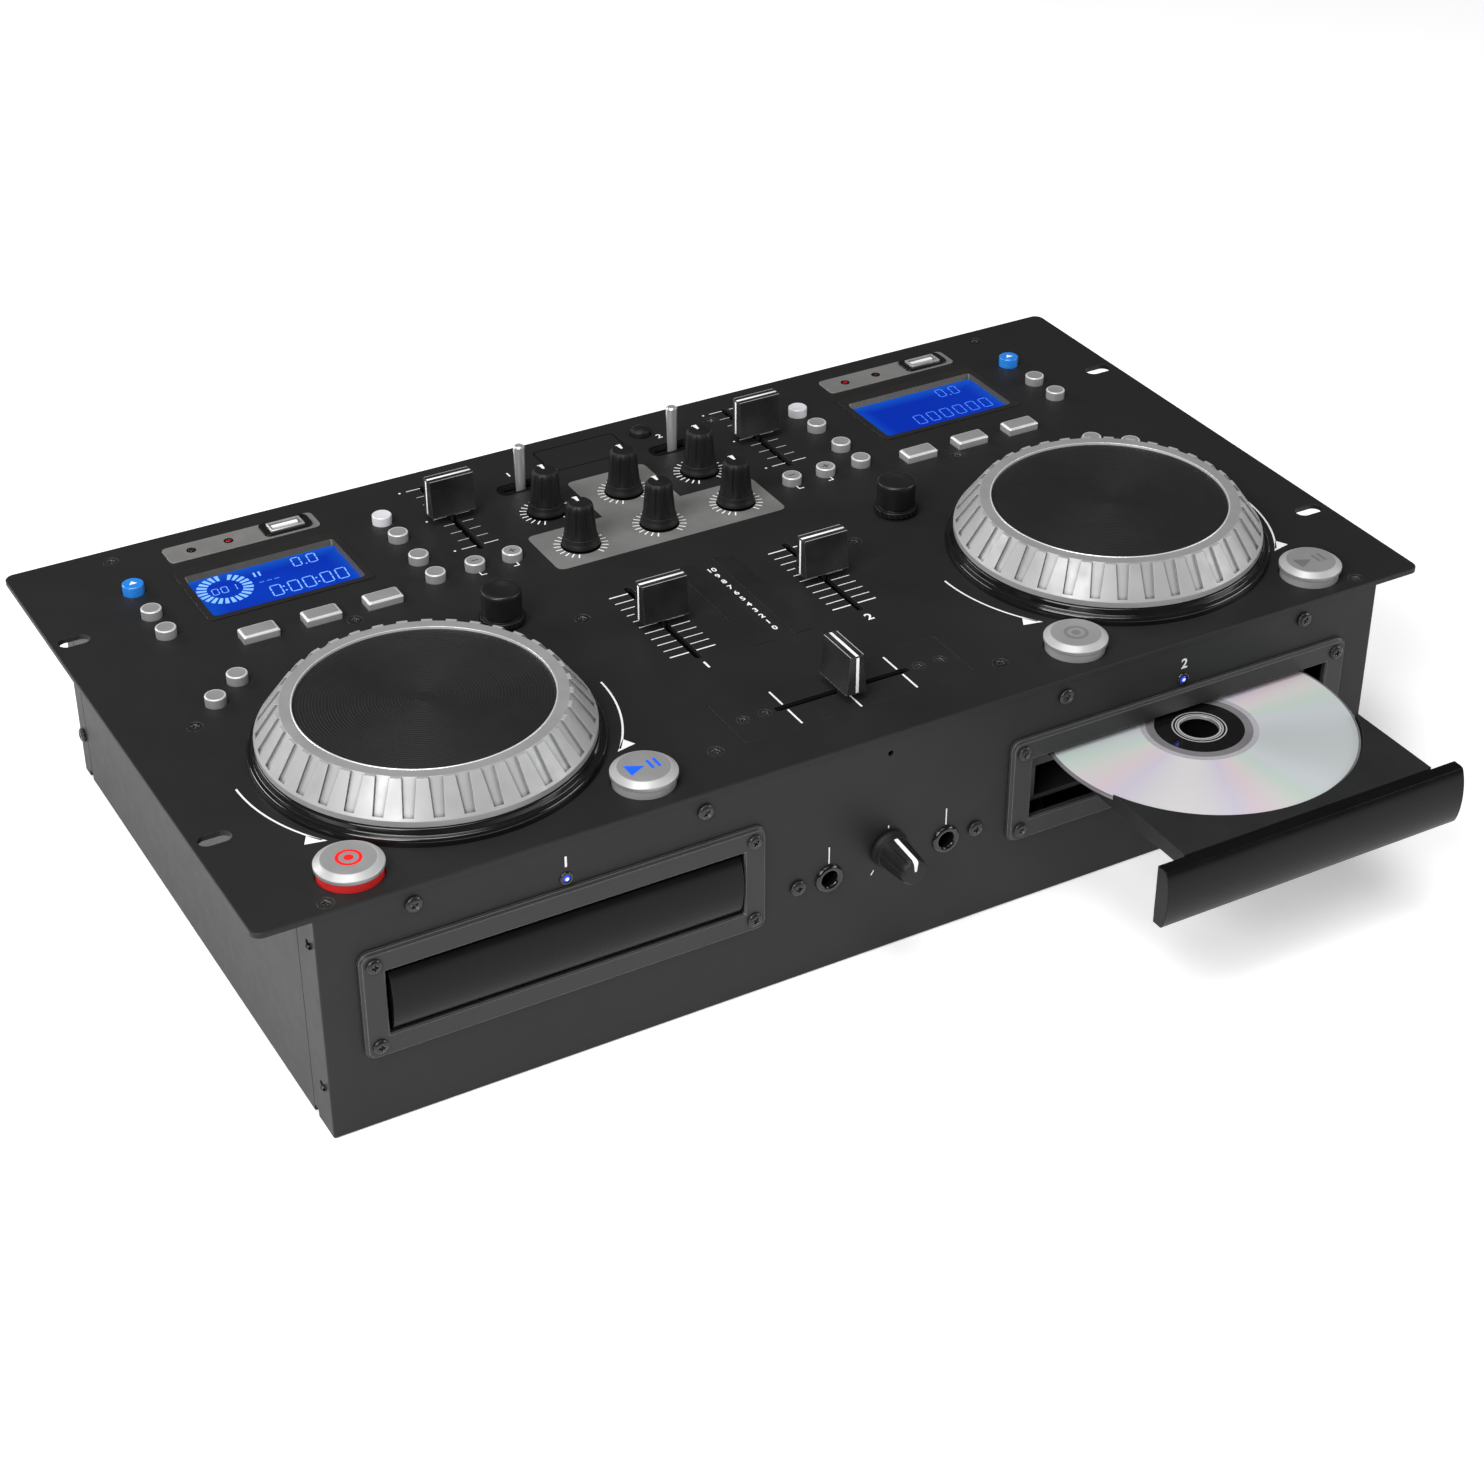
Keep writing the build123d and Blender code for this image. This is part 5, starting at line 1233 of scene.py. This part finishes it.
# A scale: its middle's y, its pitch and its number of marks.
channel_scale, pitch_scale = (-23.1, 4.9, 11), (90.8, 6.74, 9)
channel_runs, channel_end_width, channel_width = ((-9.6, -1.6), (1.6, 9.6)), 0.62, 0.42
pitch_long, pitch_short, pitch_width = 7.3, 5.8, 0.4
pitch_dot_radius, pitch_dot_offset = 0.5, 10.2
bracket_top, bracket_foot, bracket_reach = 46.3, 41.8, 2.2
arc_centre, arc_radius, arc_sweep, arc_width = (145.0, -50.0), 70.6, 37.0, 0.75
cross_mark_x, cross_mark_width = 24.3, 0.75
cross_mark_runs, middle_mark_run = ((-85.9, -95.6), (-99.4, -109.7)), (-102.1, -110.7)
# The ring of painted shade round each knob: outer radius and inner radius.
shade_ring_radius, hole_radius = 8.0, 3.7
tick_count, tick_first, tick_step, tick_width = 21, 240, 15, 0.55
tick_inner, tick_outer = 8.15, 10.9
patch_outline = round_corners(
    [(-51.5, 30.0), (50.5, 30.0), (50.5, 60.0), (17.8, 60.0), (17.8, 92.6), (-17.6, 92.6), (-17.6, 60.0),
     (-51.5, 60.0)], [3.5, 3.5, 3.5, 0, 3.0, 3.0, 0, 3.5], 6)
blank_square = round_box(36.8, 19.0, 1.5, 4, (0.3, 113.4))
prints = Shape()
soft_prints = Shape()


def panel_line(points, width=0.5, shape=prints):
    shape.line(points, width, print_height)


def scale_rows(scale):
    """Each mark's y on a scale, and whether it is one of the two end marks or the middle one."""
    middle, pitch, count = scale
    return [(middle + pitch * (i - count // 2), i in (0, count // 2, count - 1)) for i in range(count)]


def digits_text(text, x, y, size, name, height=print_height, tilt=IDENTITY):
    """Plain numbers printed flat, centred on x, y."""
    curve = bpy.data.curves.new(name, "FONT")
    curve.body = text
    curve.size = size * METRE
    curve.offset = 0.022 * size * METRE
    curve.align_x, curve.align_y = "CENTER", "CENTER"
    curve.resolution_u = 3
    maker = add_object(name, curve)
    bpy.context.view_layer.update()
    data = bpy.data.meshes.new_from_object(maker.evaluated_get(bpy.context.evaluated_depsgraph_get()))
    bpy.data.objects.remove(maker)
    data.transform(Matrix.Translation(Vector((x, y, height)) * METRE) @ tilt)
    data.materials.clear()
    data.materials.append(ink)
    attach(add_object(name, data), "console")


for deck, side in decks.items():
    x = node_centre(f"channel_fader_{deck}").x
    for number, (y, _) in enumerate(scale_rows(channel_scale)):
        width = channel_end_width if number in (0, channel_scale[2] - 1) else channel_width
        for start, end in channel_runs:
            panel_line([(x + start, y), (x + end, y)], width)
    x = node_centre(f"pitch_fader_{deck}").x
    for y, main in scale_rows(pitch_scale):
        reach = pitch_long if main else pitch_short
        for start, end in ((-reach, -1.1), (2.4, reach + 1.3)):
            panel_line([(x + start, y), (x + end, y)], pitch_width, prints if main else soft_prints)
        if main:
            prints.cap([circle(pitch_dot_radius, 12, (x - pitch_dot_offset, y))], print_height)
    for (low, high), inward in zip(solid_boxes(f"bend_buttons_{deck}"), (bracket_reach, -bracket_reach)):
        x = (low.x + high.x) / 2
        panel_line([(x, bracket_top), (x, bracket_foot), (x + inward, bracket_foot)])
    # the arcs beside the jog wheel, each ending in a one-sided arrow
    centre = (side * arc_centre[0], arc_centre[1])
    for sweep, start in ((-1, 180), (1, 0)):
        end = start - sweep * arc_sweep
        panel_line(arc_points(arc_radius, start, end, 24, centre), arc_width)
        tip = arc_points(70.2, end - sweep * 1.6, 0, 1, centre)[0]
        back = arc_points(70.8, end + sweep * 5.0, 0, 1, centre)[0]
        barb = arc_points(75.5, end + sweep * 3.0, 0, 1, centre)[0]
        prints.cap([[tip, back, barb] if sweep == 1 else [tip, barb, back]], print_height)

# the crossfader's scale
for x in (-cross_mark_x, cross_mark_x):
    for start, end in cross_mark_runs:
        panel_line([(x, start), (x, end)], cross_mark_width)
panel_line([(0.0, y) for y in middle_mark_run], cross_mark_width)

# the silver-grey patch under the tone knobs, the tick rings, and a dark ring of painted shade round each
# knob's foot
patch = Shape().cap([patch_outline], panel_top + 0.02)
patch.finish("tone_patch", "console", plate_silver)
knob_shade_shape = Shape()
for node in knob_nodes:
    x, y, _ = node_centre(node)
    # Painted shade: a dark ring round each knob's foot, reaching just past its skirt.
    knob_shade_shape.cap([circle(shade_ring_radius, 56, (x, y)), circle(hole_radius, 32, (x, y))], panel_top + 0.03)
    for i in range(tick_count):
        turn = radians(tick_first - tick_step * i)
        panel_line([(x + reach * cos(turn), y + reach * sin(turn)) for reach in (tick_inner, tick_outer)],
                   tick_width)
knob_shade_shape.finish("knob_shade_rings", "console", groove_and_shade_black)
prints.finish("white_prints", "console", ink)
soft_prints.finish("grey_prints", "console", grey_ink_and_highlight)

# numbers: the meter's scale, the channels, the inputs and the front lamps
meter_number_y, meter_number_step, meter_number_size = -47.9, 4.9, 4.0
channel_number, input_number, lamp_number = (35.0, -58.6, 6.0), (35.0, 110.5, 4.6), (129.5, 84.0, 6.0)
for i in range(11):
    digits_text(str(i), 0, meter_number_y + meter_number_step * i, meter_number_size, f"meter_number_{i}")
for deck, side in decks.items():
    number = "1" if side < 0 else "2"
    for name, (x, y, size) in (("channel", channel_number), ("input", input_number)):
        digits_text(number, side * x, y, size, f"{name}_number_{number}")
    x, height, size = lamp_number
    digits_text(number, side * x, front_face - 0.05, size, f"front_number_{number}", height, OUT_OF_FRONT)

# the blanked-off square behind the knobs: a fine groove in the paint
groove = Shape()
groove.line(blank_square, 0.6, panel_top + 0.03, closed=True)
groove.finish("blank_square_groove", "console", groove_and_shade_black)

# lines above the two sockets and the marks round the front knob
front_marks = [[(-25.0, 46.4), (-25.0, 53.6)], [(25.0, 46.4), (25.0, 53.6)], [(0, 53.4), (0, 54.6)],
               [(-5.9, 36.6), (-7.0, 34.8)], [(5.9, 36.6), (7.0, 34.8)]]
front_prints = Shape()
for mark in front_marks:
    front_prints.line(mark, 0.5, 0, at(0, front_face - 0.04, 0, OUT_OF_FRONT))
front_prints.finish("front_prints", "console", ink)

# ---------------------------------------------------------------- stage, light and camera

floor_material, _, floor_surface = shader("studio_floor")
floor_surface.inputs["Base Color"].default_value = (0.9, 0.9, 0.9, 1.0)
floor_surface.inputs["Roughness"].default_value = 0.6
floor_surface.inputs["Specular IOR Level"].default_value = 0.2
floor_surface.inputs["Emission Color"].default_value = (1.0, 1.0, 1.0, 1.0)
floor_surface.inputs["Emission Strength"].default_value = 0.27
# In metres: the floor's size each way, and its height, a little under the console.
floor_size, floor_height = 24.0, -0.0005
floor_data = bpy.data.meshes.new("studio_floor")
floor_corners = [(x, y, floor_height) for x, y in rectangle(floor_size, floor_size)]
floor_data.from_pydata(floor_corners, [], [(0, 1, 2, 3)])
floor_data.materials.append(floor_material)
add_object("studio_floor", floor_data)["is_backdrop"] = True

world = bpy.data.worlds.new("studio")
world.use_nodes = True
world.node_tree.nodes["Background"].inputs["Color"].default_value = (1.0, 1.0, 1.0, 1.0)
world.node_tree.nodes["Background"].inputs["Strength"].default_value = 0.06
bpy.context.scene.world = world


def aim(made, place, target):
    """Puts a light or camera at a place in metres and turns it to look at a target."""
    made.location = place
    made.rotation_mode = "QUATERNION"
    made.rotation_quaternion = (Vector(target) - Vector(place)).to_track_quat("-Z", "Y")


# Each light's name, place and target in metres, width and height in metres, and power in watts.
lights = [
    ("key_left", (-1.5, -0.9, 1.5), (0, 0, 0.05), 1.2, 1.2, 44),
    ("top", (-0.3, -0.2, 2.1), (0, 0, 0.1), 1.2, 1.0, 26),
    ("fill_right", (1.7, -0.9, 0.9), (0, 0, 0.05), 1.2, 0.8, 14),
    ("rim_left", (-1.2, 1.4, 1.0), (0, 0, 0.1), 1.2, 0.4, 14),
]
for name, place, target, width, height, power in lights:
    data = bpy.data.lights.new(name, "AREA")
    data.shape = "RECTANGLE"
    data.size, data.size_y, data.energy = width, height, power
    aim(add_object(name, data), place, target)

# The camera as solved from the photo, which is 1484 pixels wide.
camera_place = Vector((-468.67, -854.99, 659.51)) * METRE
camera_target = Vector((-49.03, -109.77, 94.5)) * METRE
focal_pixels, frame_pixels, sensor_width = 2901.18, 1484.0, 36.0
camera_data = bpy.data.cameras.new("camera")
camera_data.sensor_width = sensor_width
camera_data.lens = sensor_width * focal_pixels / frame_pixels
camera_data.clip_start, camera_data.clip_end = 0.05, 50.0
camera = add_object("camera", camera_data)
aim(camera, camera_place, camera_target)
bpy.context.scene.camera = camera
bpy.context.scene.view_settings.view_transform = "Standard"

low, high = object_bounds()
